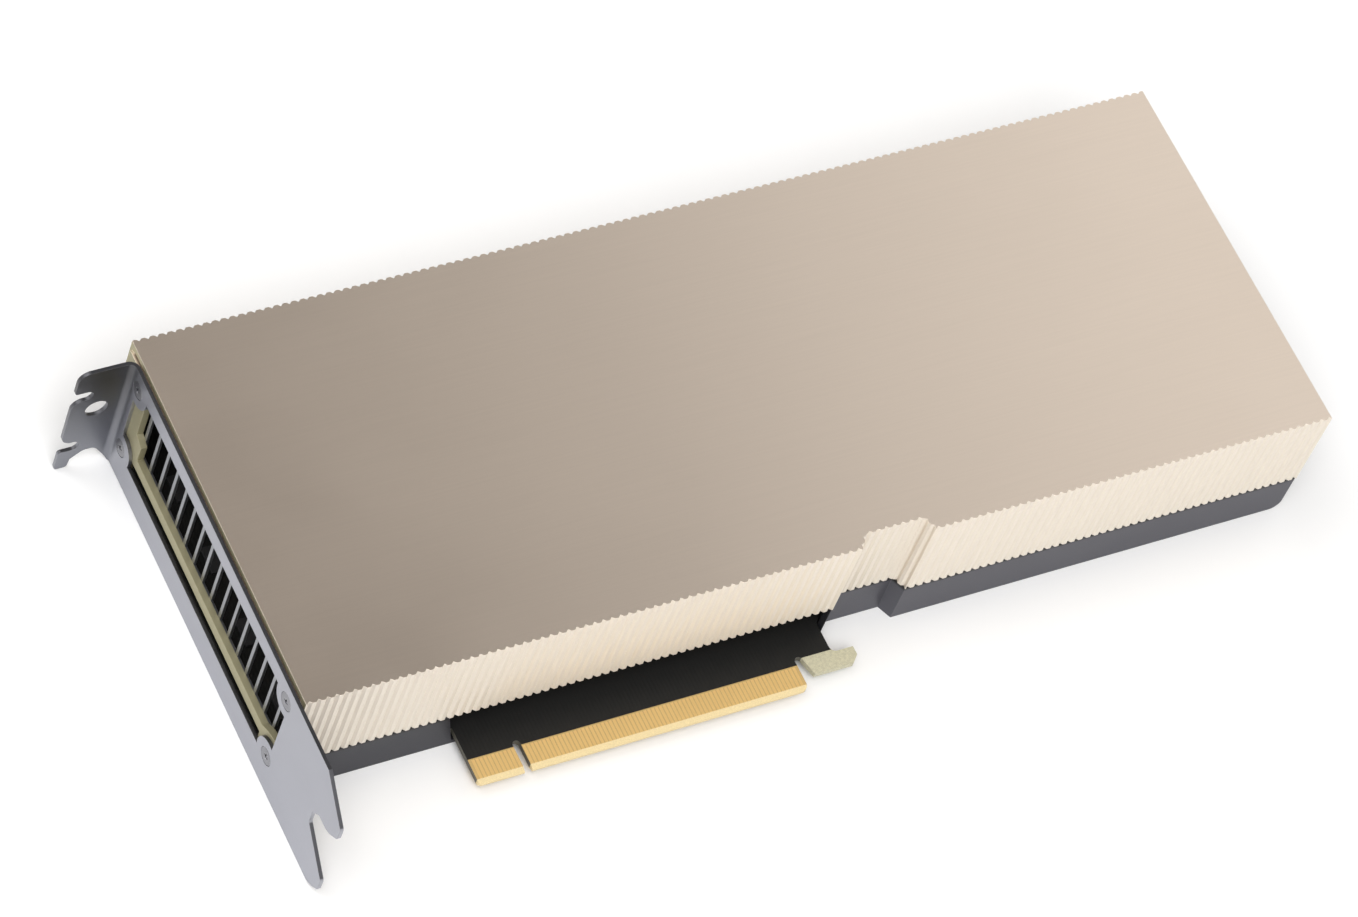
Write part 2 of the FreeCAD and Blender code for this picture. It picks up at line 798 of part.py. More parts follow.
def build_vent_grille():
    """A slotted sheet behind the end frame; its bars stand between roof and rail."""
    body = new_body("vent_grille", tray_bottom + s.grille_low)
    sheet_outline = new_sketch(body, "YZ_Plane", "grille_outline", frame_back)
    near = s.cover_near_side + s.grille_side_gap
    far = cover_far_side - s.grille_side_gap
    draw_rectangle(sheet_outline, near, far, ZERO, s.grille_height)
    add_pad(body, sheet_outline, "grille_sheet", s.grille_thickness)
    slot = new_sketch(body, "YZ_Plane", "grille_slot", frame_back - OVER)
    half = (s.grille_pitch - s.grille_bar) / 2
    draw_rectangle(
        slot,
        s.grille_first_slot - half,
        s.grille_first_slot + half,
        s.grille_slot_low,
        s.grille_slot_low + s.grille_slot_height,
    )
    cut = add_pocket(body, slot, "grille_slot_cut", s.grille_thickness + OVER * 2, along_normal=True)
    count = int(float(s.grille_slots))
    repeat_along(body, cut, "Y_Axis", "grille_slots_row", s.grille_pitch, count)
    return body


def screw_places():
    """X and Y of the screws: two long rows, and four round the processor."""
    first = float(s.sink_start + s.screw_inset)
    count = int(float(s.screw_columns))
    pitch = float(s.sink_length - s.screw_inset * 2) / (count - 1)
    columns = [first + pitch * i for i in range(count)]
    rows = (float(s.screw_near_y), float(s.screw_far_y))
    places = [(x, y) for x in columns for y in rows]
    middle_x = float(s.processor_x)
    middle_y = float(s.processor_y)
    reach_x = float(s.spring_screw_x)
    reach_y = float(s.spring_screw_y)
    places += [(middle_x + a * reach_x, middle_y + b * reach_y) for a in (-1, 1) for b in (-1, 1)]
    return places


def faceted(base, radius_low, radius_high, height, sides):
    """An upright cone or cylinder with flat sides, which keeps small repeats light."""
    rings = []
    for radius, z in ((radius_low, 0.0), (radius_high, height)):
        turns = [2 * math.pi * i / sides for i in range(sides)]
        ring = [base + Vector(radius * math.cos(a), radius * math.sin(a), z) for a in turns]
        rings.append(Part.makePolygon(ring + ring[:1]))
    return Part.makeLoft(rings, True, True)


def screw_shape(x, y, play):
    """A countersunk screw standing up from the tray's underside, grown by a play."""
    low = float(tray_bottom)
    head_height = float(s.screw_head_height)
    head_radius = float(s.screw_head_radius) + play
    radius = float(s.screw_radius) + play
    top = float(base_bottom + s.screw_bite)
    head = faceted(Vector(x, y, low), head_radius, radius, head_height, SCREW_SIDES)
    neck = Vector(x, y, low + head_height)
    shank = faceted(neck, radius, radius, top - low - head_height, SCREW_SIDES)
    return head.fuse(shank)


def build_screw_passages():
    """What the screws need clear in the tray, the film and the board."""
    play = float(s.screw_passage)
    return group_of("screw_passages", [screw_shape(x, y, play) for x, y in screw_places()])


def build_threads():
    """What the screws need clear in the heat sink's base."""
    play = float(s.screw_fit)
    return group_of("screw_threads", [screw_shape(x, y, play) for x, y in screw_places()])


def spacer_ring(x, y, low, high):
    """A square spacer with a round passage for its screw."""
    height = float(high) - float(low)
    outer = centred_block(x, y, low, s.spacer_size, s.spacer_size, height)
    radius = float(s.screw_radius + s.screw_passage)
    passage = faceted(Vector(x, y, float(low)), radius, radius, height, SCREW_SIDES)
    return outer.cut(passage)


def build_film():
    """The insulating film on the tray's floor, under the board, cleared round the spacers."""
    body = new_body("film_blank", floor_top)
    outline = new_sketch(body, "XY_Plane", "film_outline")
    inset = s.tray_inset + s.tray_wall + s.film_margin
    start = cover_start + s.film_margin
    draw_polygon(outline, long_side_outline(inset, start, tail - inset))
    add_pad(body, outline, "film_plate", s.film_thickness)
    play = float(s.spacer_size + s.film_margin / 2)
    height = float(s.film_thickness + OVER * 2)
    low = float(floor_top - OVER)
    windows = [centred_block(x, y, low, play, play, height) for x, y in screw_places()]
    return cut_from("insulating_film", body, group_of("film_windows", windows))


def build_heat_sink_base():
    """The sink's base: a plate, a pedestal on the processor and two ridges on the supply."""
    body = new_body("base_blank", base_bottom)
    plate = new_sketch(body, "XY_Plane", "base_outline")
    draw_rectangle(plate, s.sink_start, sink_end, s.sink_near, sink_far)
    add_pad(body, plate, "base_plate", s.base_thickness)
    half = s.pedestal_size / 2
    drops = [("pedestal", s.processor_x, half, half, base_bottom - paste_top)]
    ridge_drop = base_bottom - (board_top + s.stage_height + s.pad_thickness)
    for name, side in (("left", -1), ("right", 1)):
        middle = s.processor_x + s.stage_offset * side
        drops.append((f"{name}_ridge", middle, s.ridge_length / 2, s.ridge_width / 2, ridge_drop))
    for name, x, reach_x, reach_y, depth in drops:
        sketch = new_sketch(body, "XY_Plane", f"{name}_outline")
        draw_rectangle(sketch, x - reach_x, x + reach_x, s.processor_y - reach_y, s.processor_y + reach_y)
        drop = add_pad(body, sketch, name, depth)
        drop.Reversed = True
    return cut_from("heat_sink_base", body, threads)


def build_fins():
    """Straight fins along the air's way, standing on the base and reaching up to the roof."""
    pitch = float(s.fin_pitch)
    height = float(roof_bottom - s.fin_roof_gap - base_top)
    count = int((float(s.sink_width) - float(s.fin_thickness)) / pitch) + 1
    margin = (float(s.sink_width) - pitch * (count - 1) - float(s.fin_thickness)) / 2
    first = float(s.sink_near) + margin
    fins = [
        block(s.sink_start, first + pitch * i, base_top, s.sink_length, s.fin_thickness, height)
        for i in range(count)
    ]
    return group_of("heat_sink_fins", fins)


def build_package():
    """Processor substrate, die, stacked memory beside it, and the paste on top of them."""
    x = s.processor_x
    y = s.processor_y
    substrate = doc.addObject("Part::Box", "processor_substrate")
    substrate.Label = "processor_substrate"
    bind(substrate, "Length", s.substrate_size)
    bind(substrate, "Width", s.substrate_size)
    bind(substrate, "Height", s.substrate_thickness)
    bind(substrate, "Placement.Base.x", x - s.substrate_size / 2)
    bind(substrate, "Placement.Base.y", y - s.substrate_size / 2)
    bind(substrate, "Placement.Base.z", board_top)
    die = doc.addObject("Part::Box", "processor_die")
    die.Label = "processor_die"
    bind(die, "Length", s.die_length)
    bind(die, "Width", s.die_width)
    bind(die, "Height", s.die_thickness)
    bind(die, "Placement.Base.x", x - s.die_length / 2)
    bind(die, "Placement.Base.y", y - s.die_width / 2)
    bind(die, "Placement.Base.z", substrate_top)
    reach = float(s.die_length / 2 + s.memory_gap + s.memory_length / 2)
    per_side = int(float(s.memory_per_side))
    rows = [float(s.memory_pitch) * (i - (per_side - 1) / 2) for i in range(per_side)]
    places = [(float(x) + side * reach, float(y) + row) for side in (-1, 1) for row in rows]
    stacks = [
        centred_block(a, b, substrate_top, s.memory_length, s.memory_width, s.die_thickness)
        for a, b in places
    ]
    paste = [centred_block(x, y, die_top, s.die_length, s.die_width, s.paste_thickness)]
    paste += [
        centred_block(a, b, die_top, s.memory_length, s.memory_width, s.paste_thickness) for a, b in places
    ]
    return [substrate, die, group_of("memory_stacks", stacks), group_of("thermal_paste", paste)]


def phase_places(offset):
    """X and Y of the power phases, in one column each side of the processor."""
    count = int(float(s.phases_per_side))
    rows = [float(s.phase_pitch) * (i - (count - 1) / 2) for i in range(count)]
    middle = float(s.processor_x)
    center = float(s.processor_y)
    return [(middle + side * float(offset), center + row) for side in (-1, 1) for row in rows]


def build_power_supply():
    """Power stages with their pads, chokes, bulk capacitors and small controllers."""
    stages = phase_places(s.stage_offset)
    chokes = phase_places(s.choke_offset)
    stage_top = board_top + s.stage_height
    choke_top = board_top + s.choke_height
    choke_pad = base_bottom - choke_top
    stage = (s.stage_length, s.stage_width)
    choke = (s.choke_size, s.choke_size)
    controller = (s.controller_size, s.controller_size)
    pads = [centred_block(x, y, stage_top, *stage, s.pad_thickness) for x, y in stages]
    pads += [centred_block(x, y, choke_top, *choke, choke_pad) for x, y in chokes]
    capacitor_rows = [
        float(s.capacitor_first + s.capacitor_pitch * i) for i in range(int(float(s.capacitors)))
    ]
    controller_rows = [
        float(s.controller_first + s.controller_pitch * i) for i in range(int(float(s.controllers)))
    ]
    foot = float(board_top)
    radius = float(s.capacitor_radius)
    can_x = float(sink_end + s.capacitor_gap)
    cans = [
        faceted(Vector(can_x, y, foot), radius, radius, float(s.capacitor_height), CAN_SIDES)
        for y in capacitor_rows
    ]
    chips = [
        centred_block(s.controller_x, y, foot, *controller, s.controller_height) for y in controller_rows
    ]
    return [
        group_of("power_stages", [centred_block(x, y, foot, *stage, s.stage_height) for x, y in stages]),
        group_of("thermal_pads", pads),
        group_of("chokes", [centred_block(x, y, foot, *choke, s.choke_height) for x, y in chokes]),
        group_of("capacitors", cans),
        group_of("controllers", chips),
    ]


def cavity_middles():
    """Y and Z of the middles of the power socket's cavities, in two rows."""
    columns = int(float(s.cavity_columns))
    middle_y = float(s.socket_near + s.socket_width / 2)
    middle_z = float(board_top + s.socket_height / 2)
    pitch = float(s.cavity_pitch)
    across = [middle_y + pitch * (i - (columns - 1) / 2) for i in range(columns)]
    return [(y, middle_z + pitch * side) for y in across for side in (-0.5, 0.5)]


def build_power_socket():
    """The power socket at the tail: a housing with two rows of cavities, open to the rear."""
    body = new_body("power_socket", board_top)
    front = tail - s.socket_setback
    outline = new_sketch(body, "YZ_Plane", "socket_outline", front - s.socket_length)
    draw_rectangle(outline, s.socket_near, s.socket_near + s.socket_width, ZERO, s.socket_height)
    add_pad(body, outline, "socket_block", s.socket_length)
    half = s.cavity_size / 2
    cavities = new_sketch(body, "YZ_Plane", "socket_cavities", front + OVER)
    middle_y = s.socket_near + s.socket_width / 2
    middle_z = s.socket_height / 2
    columns = int(float(s.cavity_columns))
    for i in range(columns):
        y = middle_y + s.cavity_pitch * (i - (columns - 1) / 2)
        for side in (-0.5, 0.5):
            z = middle_z + s.cavity_pitch * side
            draw_rectangle(cavities, y - half, y + half, z - half, z + half)
    add_pocket(body, cavities, "socket_cavity_cut", s.cavity_depth + OVER)
    return body


def build_power_pins():
    """One square pin standing in each cavity of the power socket."""
    start = tail - s.socket_setback - s.cavity_depth
    half = float(s.pin_size) / 2
    size = (s.pin_length, s.pin_size, s.pin_size)
    pins = [block(start, y - half, z - half, *size) for y, z in cavity_middles()]
    return group_of("power_pins", pins)


passages = build_screw_passages()
threads = build_threads()
parts = [
    build_cover(),
    build_tray(),
    build_board(),
    build_edge_contacts(),
    build_bracket(),
    build_bracket_screws(),
    build_vent_grille(),
    build_film(),
    build_heat_sink_base(),
    build_fins(),
    build_power_socket(),
    build_power_pins(),
    group_of("tray_screws", [screw_shape(x, y, 0.0) for x, y in screw_places()]),
    group_of("lower_spacers", [spacer_ring(x, y, floor_top, board_bottom) for x, y in screw_places()]),
    group_of("upper_spacers", [spacer_ring(x, y, board_top, base_bottom) for x, y in screw_places()]),
]
parts += build_package()
parts += build_power_supply()
doc.recompute()

failed = [item.Name for item in doc.Objects if {"Invalid", "Error"} & set(item.State)]
failed += [part.Label for part in parts if part.Shape.isNull() or not part.Shape.isValid()]
if failed:
    raise RuntimeError("objects that did not build: " + ", ".join(failed))

os.makedirs("parts", exist_ok=True)
for part in parts:
    part.Shape.exportStep(f"parts/{part.Label}.step")
    print(part.Label, "solids", len(part.Shape.Solids), "volume", round(part.Shape.Volume, 1))
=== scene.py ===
"""Looks, light and camera for a passively cooled, dual-slot accelerator card.

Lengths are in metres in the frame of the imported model: X runs from the bracket to the
tail, Y from the contact edge to the far long side, and Z up from the board's middle.
"""

import logging
import math
from collections.abc import Callable
from dataclasses import dataclass
from enum import Enum

import bpy
from mathutils import Matrix, Vector


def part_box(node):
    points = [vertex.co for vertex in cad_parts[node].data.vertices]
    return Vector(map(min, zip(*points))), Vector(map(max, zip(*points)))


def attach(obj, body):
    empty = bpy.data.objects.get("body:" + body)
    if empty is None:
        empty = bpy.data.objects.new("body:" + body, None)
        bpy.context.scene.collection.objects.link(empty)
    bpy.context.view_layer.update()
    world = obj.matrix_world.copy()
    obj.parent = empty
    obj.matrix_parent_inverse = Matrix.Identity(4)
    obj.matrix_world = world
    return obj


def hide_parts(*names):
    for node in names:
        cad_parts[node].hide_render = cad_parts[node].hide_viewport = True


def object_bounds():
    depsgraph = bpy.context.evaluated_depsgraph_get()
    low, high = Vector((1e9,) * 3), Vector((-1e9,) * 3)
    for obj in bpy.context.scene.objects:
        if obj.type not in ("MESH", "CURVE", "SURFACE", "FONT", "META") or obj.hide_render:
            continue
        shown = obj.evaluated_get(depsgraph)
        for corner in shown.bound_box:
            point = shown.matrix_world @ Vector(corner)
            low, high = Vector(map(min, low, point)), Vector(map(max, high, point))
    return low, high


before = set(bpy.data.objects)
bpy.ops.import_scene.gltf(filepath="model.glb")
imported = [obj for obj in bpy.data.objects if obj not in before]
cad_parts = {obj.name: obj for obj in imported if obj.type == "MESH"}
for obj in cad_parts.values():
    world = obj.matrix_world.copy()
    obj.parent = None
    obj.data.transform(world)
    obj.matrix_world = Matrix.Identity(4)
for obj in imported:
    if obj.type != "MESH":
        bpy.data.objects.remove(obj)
cad_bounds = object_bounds()

Socket = bpy.types.NodeSocket
Colour = tuple[float, float, float]
Point = tuple[float, float, float]
Span = tuple[float, float]
Box = tuple[Vector, Vector]

MM = 0.001
WELD = 1e-6
log = logging.getLogger("accelerator_card")


# ---------------------------------------------------------------- shader nodes


class Nodes:
    """Places and joins shader nodes in one tree."""

    def __init__(self, tree: bpy.types.NodeTree) -> None:
        """Work on the given tree."""
        self.tree = tree

    def add(self, kind: str, **settings: object) -> bpy.types.Node:
        """Place a node.

        Args:
            kind: the node's type name.
            settings: properties of the node and their values.

        Returns:
            The new node.
        """
        node = self.tree.nodes.new(kind)
        for key, value in settings.items():
            setattr(node, key, value)
        return node

    def feed(self, socket: Socket, value: object) -> None:
        """Join an output to an input, or set the input's own value.

        Args:
            socket: the input.
            value: an output socket, or a constant.
        """
        if isinstance(value, Socket):
            self.tree.links.new(value, socket)
        elif socket.type == "RGBA":
            socket.default_value = (*value[:3], 1.0)
        else:
            socket.default_value = value

    def math(self, operation: str, a: object, b: object = 0.0) -> Socket:
        """Arithmetic on two values.

        Args:
            operation: the Math node's operation.
            a: first value or output.
            b: second value or output.

        Returns:
            The result.
        """
        node = self.add("ShaderNodeMath", operation=operation)
        self.feed(node.inputs[0], a)
        self.feed(node.inputs[1], b)
        return node.outputs[0]

    def times(self, a: object, b: object) -> Socket:
        """The product of two values."""
        return self.math("MULTIPLY", a, b)

    def vector(self, operation: str, a: object, b: object) -> bpy.types.Node:
        """Vector arithmetic.

        Args:
            operation: the Vector Math node's operation.
            a: first vector or output.
            b: second vector or output.

        Returns:
            The node, which has a Vector and a Value output.
        """
        node = self.add("ShaderNodeVectorMath", operation=operation)
        self.feed(node.inputs[0], a)
        self.feed(node.inputs[1], b)
        return node

    def remap(
        self, value: object, low: float, high: float, start: float = 0.0, end: float = 1.0
    ) -> Socket:
        """A clamped, straight remapping.

        Args:
            value: the input.
            low: input that gives start.
            high: input that gives end.
            start: result at low.
            end: result at high.

        Returns:
            The remapped output.
        """
        node = self.add("ShaderNodeMapRange")
        for socket, given in zip(node.inputs, (value, low, high, start, end)):
            self.feed(socket, given)
        return node.outputs[0]

    def mix(self, factor: object, a: object, b: object) -> Socket:
        """A blend of two colours.

        Args:
            factor: 0 gives a and 1 gives b.
            a: first colour.
            b: second colour.

        Returns:
            The blended colour.
        """
        node = self.add("ShaderNodeMix", data_type="RGBA")
        self.feed(node.inputs["Factor"], factor)
        self.feed(node.inputs[6], a)
        self.feed(node.inputs[7], b)
        return node.outputs[2]

    def noise(
        self, vector: object, scale: object, detail: float = 2.0, rough: float = 0.5
    ) -> Socket:
        """Noise between 0 and 1.

        Args:
            vector: where it is read.
            scale: cells per metre, a number or an output.
            detail: octaves.
            rough: weight of the finer octaves.

        Returns:
            The value output.
        """
        node = self.add("ShaderNodeTexNoise")
        self.feed(node.inputs["Vector"], vector)
        self.feed(node.inputs["Scale"], scale)
        self.feed(node.inputs["Detail"], detail)
        self.feed(node.inputs["Roughness"], rough)
        return node.outputs[0]

    def place(self, vector: object) -> tuple[Socket, ...]:
        """X, Y and Z of a position.

        Args:
            vector: the position.

        Returns:
            The three values.
        """
        node = self.add("ShaderNodeSeparateXYZ")
        self.feed(node.inputs[0], vector)
        return tuple(node.outputs)

    def position(self) -> Socket:
        """Where the shaded spot lies in the piece's own frame."""
        return self.add("ShaderNodeTexCoord").outputs["Object"]

    def normal(self) -> Socket:
        """Which way the true surface looks."""
        return self.add("ShaderNodeNewGeometry").outputs["Normal"]

    def upward(self) -> Socket:
        """How far the surface looks up: 1 straight up, -1 straight down."""
        return self.place(self.normal())[2]

    def group(self, tree: bpy.types.NodeTree, **values: object) -> dict[str, Socket]:
        """Place a node group with its own values.

        Args:
            tree: the group.
            values: inputs by name.

        Returns:
            The outputs by name.
        """
        node = self.add("ShaderNodeGroup", node_tree=tree)
        for name, value in values.items():
            self.feed(node.inputs[name], value)
        return {socket.name: socket for socket in node.outputs}


class Effect(Enum):
    """Surface effects that several finishes share, each a node group."""

    GRAIN = "surface_grain"
    WEAR = "edge_wear_and_highlight"
    SMUDGE = "handling_marks"


# Nearly all of a noise's values lie in the first band; the others pick out its patches.
NOISE_BAND: Span = (0.3, 0.7)
SMUDGE_BAND: Span = (0.35, 0.65)
PATCH_BAND: Span = (0.3, 0.6)
# How well the rounded and the flat normal agree, off an edge and right on it.
EDGE_BAND: Span = (0.985, 0.86)
# The second grain is this many times finer than the first.
FINER_GRAIN = 3.1
# Patches of edge wear and painted edge highlight per metre.
WEAR_AND_HIGHLIGHT_BREAKUP = 900.0
EDGE_SAMPLES = 4
COAT_ROUGHNESS = 0.25


def new_group(
    effect: Effect, inputs: dict[str, str], outputs: dict[str, str]
) -> tuple[Nodes, dict[str, Socket], bpy.types.Node]:
    """An empty node group with named sockets.

    Args:
        effect: which effect it is.
        inputs: socket types by name.
        outputs: socket types by name.

    Returns:
        Its node helper, its inputs by name and its output node.
    """
    tree = bpy.data.node_groups.new(effect.value, "ShaderNodeTree")
    for way, sockets in (("INPUT", inputs), ("OUTPUT", outputs)):
        for name, kind in sockets.items():
            tree.interface.new_socket(name=name, in_out=way, socket_type=f"NodeSocket{kind}")
    nodes = Nodes(tree)
    given = nodes.add("NodeGroupInput").outputs
    result = nodes.add("NodeGroupOutput")
    return nodes, {socket.name: socket for socket in given if socket.name}, result


def build_grain() -> bpy.types.NodeTree:
    """Fine brushing or blasting: noise drawn out along the stretched axes."""
    nodes, given, result = new_group(
        Effect.GRAIN,
        {"Vector": "Vector", "Stretch": "Vector", "Scale": "Float"},
        {"Value": "Float", "Height": "Float"},
    )
    drawn = nodes.vector("MULTIPLY", given["Vector"], given["Stretch"]).outputs[0]
    coarse = nodes.noise(drawn, given["Scale"], detail=3.0, rough=0.6)
    fine = nodes.noise(drawn, nodes.times(given["Scale"], FINER_GRAIN))
    mean = nodes.times(nodes.math("ADD", coarse, fine), 0.5)
    nodes.feed(result.inputs["Value"], coarse)
    nodes.feed(result.inputs["Height"], mean)
    return nodes.tree


def build_wear_and_highlight() -> bpy.types.NodeTree:
    """Painted edge highlight and edge wear: a mask along edges, broken up by noise."""
    nodes, given, result = new_group(
        Effect.WEAR, {"Vector": "Vector", "Radius": "Float", "Breakup": "Float"}, {"Mask": "Float"}
    )
    rounded = nodes.add("ShaderNodeBevel", samples=EDGE_SAMPLES)
    nodes.feed(rounded.inputs["Radius"], given["Radius"])
    agree = nodes.vector("DOT_PRODUCT", rounded.outputs[0], nodes.normal()).outputs["Value"]
    patches = nodes.noise(given["Vector"], given["Breakup"], detail=3.0, rough=0.6)
    worn_and_lit = nodes.times(nodes.remap(agree, *EDGE_BAND), nodes.remap(patches, *PATCH_BAND))
    nodes.feed(result.inputs["Mask"], worn_and_lit)
    return nodes.tree


def build_smudge() -> bpy.types.NodeTree:
    """Large, soft patches where hands and cloths have passed."""
    nodes, given, result = new_group(
        Effect.SMUDGE, {"Vector": "Vector", "Scale": "Float"}, {"Value": "Float"}
    )
    broad = nodes.noise(given["Vector"], given["Scale"], detail=4.0, rough=0.55)
    nodes.feed(result.inputs["Value"], nodes.remap(broad, *SMUDGE_BAND))
    return nodes.tree


class EffectLibrary:
    """The shared node groups, each built once."""

    def __init__(self) -> None:
        """Build every effect."""
        self.trees = {
            Effect.GRAIN: build_grain(),
            Effect.WEAR: build_wear_and_highlight(),
            Effect.SMUDGE: build_smudge(),
        }

    def __getitem__(self, effect: Effect) -> bpy.types.NodeTree:
        """The node group of an effect."""
        return self.trees[effect]


# -------------------------------------------------------------------- finishes


class Lay(Enum):
    """Which way a surface was brushed; the stretch of its grain along X, Y and Z."""

    ALONG_X = (0.02, 1.0, 1.0)
    ALONG_Y = (1.0, 0.02, 1.0)
    ALONG_Z = (1.0, 1.0, 0.02)
    BLASTED = (1.0, 1.0, 1.0)


@dataclass(frozen=True)
class Tone:
    """A second colour that takes over along one axis."""

    colour: Colour
    axis: int
    start: float
    end: float


@dataclass(frozen=True)
class Finish:
    """A metal, plastic or laminate surface with its grain, handling marks, and edge wear with a
    painted edge highlight.

    Scales are in cells per metre; the radius of the edge wear and painted highlight, and
    grain_depth, are in metres.
    """

    name: str
    colour: Colour
    metallic: float = 1.0
    roughness: float = 0.4
    lay: Lay = Lay.BLASTED
    grain_scale: float = 9000.0
    grain_colour: float = 0.05
    grain_roughness: float = 0.08
    grain_depth: float = 4e-6
    smudge_scale: float = 30.0
    smudge_roughness: float = 0.05
    wear_and_highlight_colour: Colour = (0.9, 0.9, 0.9)
    wear_and_highlight_radius: float = 0.00025
    wear_and_highlight_amount: float = 0.5
    coat: float = 0.0
    specular: float = 0.5
    tone: Tone | None = None

    def build(self, effects: EffectLibrary) -> bpy.types.Material:
        """Make the material.

        Args:
            effects: the shared node groups.

        Returns:
            The new material.
        """
        material = bpy.data.materials.new(self.name)
        material.use_nodes = True
        nodes = Nodes(material.node_tree)
        shader = material.node_tree.nodes["Principled BSDF"]
        shader.inputs["Metallic"].default_value = self.metallic
        shader.inputs["Specular IOR Level"].default_value = self.specular
        shader.inputs["Coat Weight"].default_value = self.coat
        shader.inputs["Coat Roughness"].default_value = COAT_ROUGHNESS
        spot = nodes.position()
        grain = nodes.group(
            effects[Effect.GRAIN], Vector=spot, Stretch=self.lay.value, Scale=self.grain_scale
        )
        smudge = nodes.group(effects[Effect.SMUDGE], Vector=spot, Scale=self.smudge_scale)
        colour = self.grained_colour(nodes, spot, grain["Value"])
        if self.wear_and_highlight_amount:
            wear = nodes.group(
                effects[Effect.WEAR], Vector=spot, Radius=self.wear_and_highlight_radius, Breakup=WEAR_AND_HIGHLIGHT_BREAKUP
            )
            # Edge wear and painted edge highlight: the edges mixed toward a lighter colour.
            worn_and_lit = nodes.times(wear["Mask"], self.wear_and_highlight_amount)
            colour = nodes.mix(worn_and_lit, colour, self.wear_and_highlight_colour)
        nodes.feed(shader.inputs["Base Color"], colour)
        rough = self.varied_roughness(nodes, grain["Value"], smudge["Value"])
        nodes.feed(shader.inputs["Roughness"], rough)
        bump = nodes.add("ShaderNodeBump")
        bump.inputs["Strength"].default_value = 1.0
        bump.inputs["Distance"].default_value = self.grain_depth
        nodes.feed(bump.inputs["Height"], self.relief(nodes, spot, grain["Height"]))
        nodes.feed(shader.inputs["Normal"], bump.outputs[0])
        return material

    def grained_colour(self, nodes: Nodes, spot: Socket, grain: Socket) -> Socket:
        """The base colour, lighter and darker with the grain.

        Args:
            nodes: the material's nodes.
            spot: position on the piece.
            grain: the grain's value.

        Returns:
            The colour output.
        """
        shade = nodes.add("ShaderNodeHueSaturation")
        nodes.feed(shade.inputs["Color"], self.base_colour(nodes, spot))
        dark, light = 1.0 - self.grain_colour, 1.0 + self.grain_colour
        nodes.feed(shade.inputs["Value"], nodes.remap(grain, *NOISE_BAND, dark, light))
        return shade.outputs[0]

    def varied_roughness(self, nodes: Nodes, grain: Socket, smudge: Socket) -> Socket:
        """The roughness, with the swing of the grain and the handling marks on it.

        Args:
            nodes: the material's nodes.
            grain: the grain's value.
            smudge: the handling marks' value.

        Returns:
            The roughness output.
        """
        swing = nodes.remap(grain, *NOISE_BAND, -self.grain_roughness, self.grain_roughness)
        marks = nodes.times(smudge, self.smudge_roughness)
        return nodes.math("ADD", nodes.math("ADD", swing, marks), self.roughness)

    def base_colour(self, nodes: Nodes, spot: Socket) -> object:
        """The colour before grain, edge wear and painted edge highlight.

        Args:
            nodes: the material's nodes.
            spot: position on the piece.

        Returns:
            A colour output or a constant.
        """
        if self.tone is None:
            return self.colour
        along = nodes.remap(nodes.place(spot)[self.tone.axis], self.tone.start, self.tone.end)
        return nodes.mix(along, self.colour, self.tone.colour)

    def relief(self, nodes: Nodes, spot: Socket, grain: Socket) -> Socket:
        """The height that the bump reads.

        Args:
            nodes: the material's nodes.
            spot: position on the piece.
            grain: the grain's height.

        Returns:
            The height output.
        """
        return grain


@dataclass(frozen=True)
class BoardFinish(Finish):
    """Solder mask over glass laminate, bare at the routed edges, the bevel and the hook."""

    laminate: Colour = (0.60, 0.57, 0.41)
    routed_edge: Colour = (0.11, 0.105, 0.085)
    copper: Colour = (0.60, 0.41, 0.165)
    bevel: Colour = (0.74, 0.60, 0.335)
    bevel_length: float = 0.0013
    contact_end: float = 0.0066
    hook_start: float = 0.0744
    hook_end: float = 0.0081
    edge_slope: Span = (0.75, 0.4)
    weave_scale: float = 1400.0
    weave_shade: float = 0.8
    copper_share: float = 0.92
    track_pitch: float = 0.001
    track_wave: Span = (-0.2, 0.3)
    track_height: float = 2.0

    def base_colour(self, nodes: Nodes, spot: Socket) -> object:
        """Mask colour with the copper, the laminate and the bevel let through."""
        x, y, _ = nodes.place(spot)
        past_tab = nodes.math("GREATER_THAN", x, self.hook_start)
        on_tab = nodes.math("LESS_THAN", x, self.hook_start)
        hook = nodes.times(past_tab, nodes.math("LESS_THAN", y, self.hook_end))
        under_pads = nodes.times(on_tab, nodes.math("LESS_THAN", y, self.contact_end))
        bevel = nodes.times(on_tab, nodes.math("LESS_THAN", y, self.bevel_length))
        edge = nodes.remap(nodes.math("ABSOLUTE", nodes.upward()), *self.edge_slope)
        copper = nodes.times(under_pads, self.copper_share)
        colour = nodes.mix(copper, self.colour, self.copper)
        colour = nodes.mix(edge, colour, self.routed_edge)
        colour = nodes.mix(hook, colour, self.woven_laminate(nodes, spot))
        return nodes.mix(bevel, colour, self.bevel)

    def woven_laminate(self, nodes: Nodes, spot: Socket) -> Socket:
        """Bare laminate with its glass cloth showing through."""
        weave = nodes.noise(spot, self.weave_scale, rough=0.6)
        shaded = tuple(self.weave_shade * channel for channel in self.laminate)
        return nodes.mix(nodes.remap(weave, *NOISE_BAND), self.laminate, shaded)

    def relief(self, nodes: Nodes, spot: Socket, grain: Socket) -> Socket:
        """Grain with the copper tracks that run up from the contacts under the mask."""
        x, _, _ = nodes.place(spot)
        wave = nodes.math("SINE", nodes.times(x, 2 * math.pi / self.track_pitch))
        tracks = nodes.remap(wave, *self.track_wave)
        return nodes.math("ADD", grain, nodes.times(tracks, self.track_height))


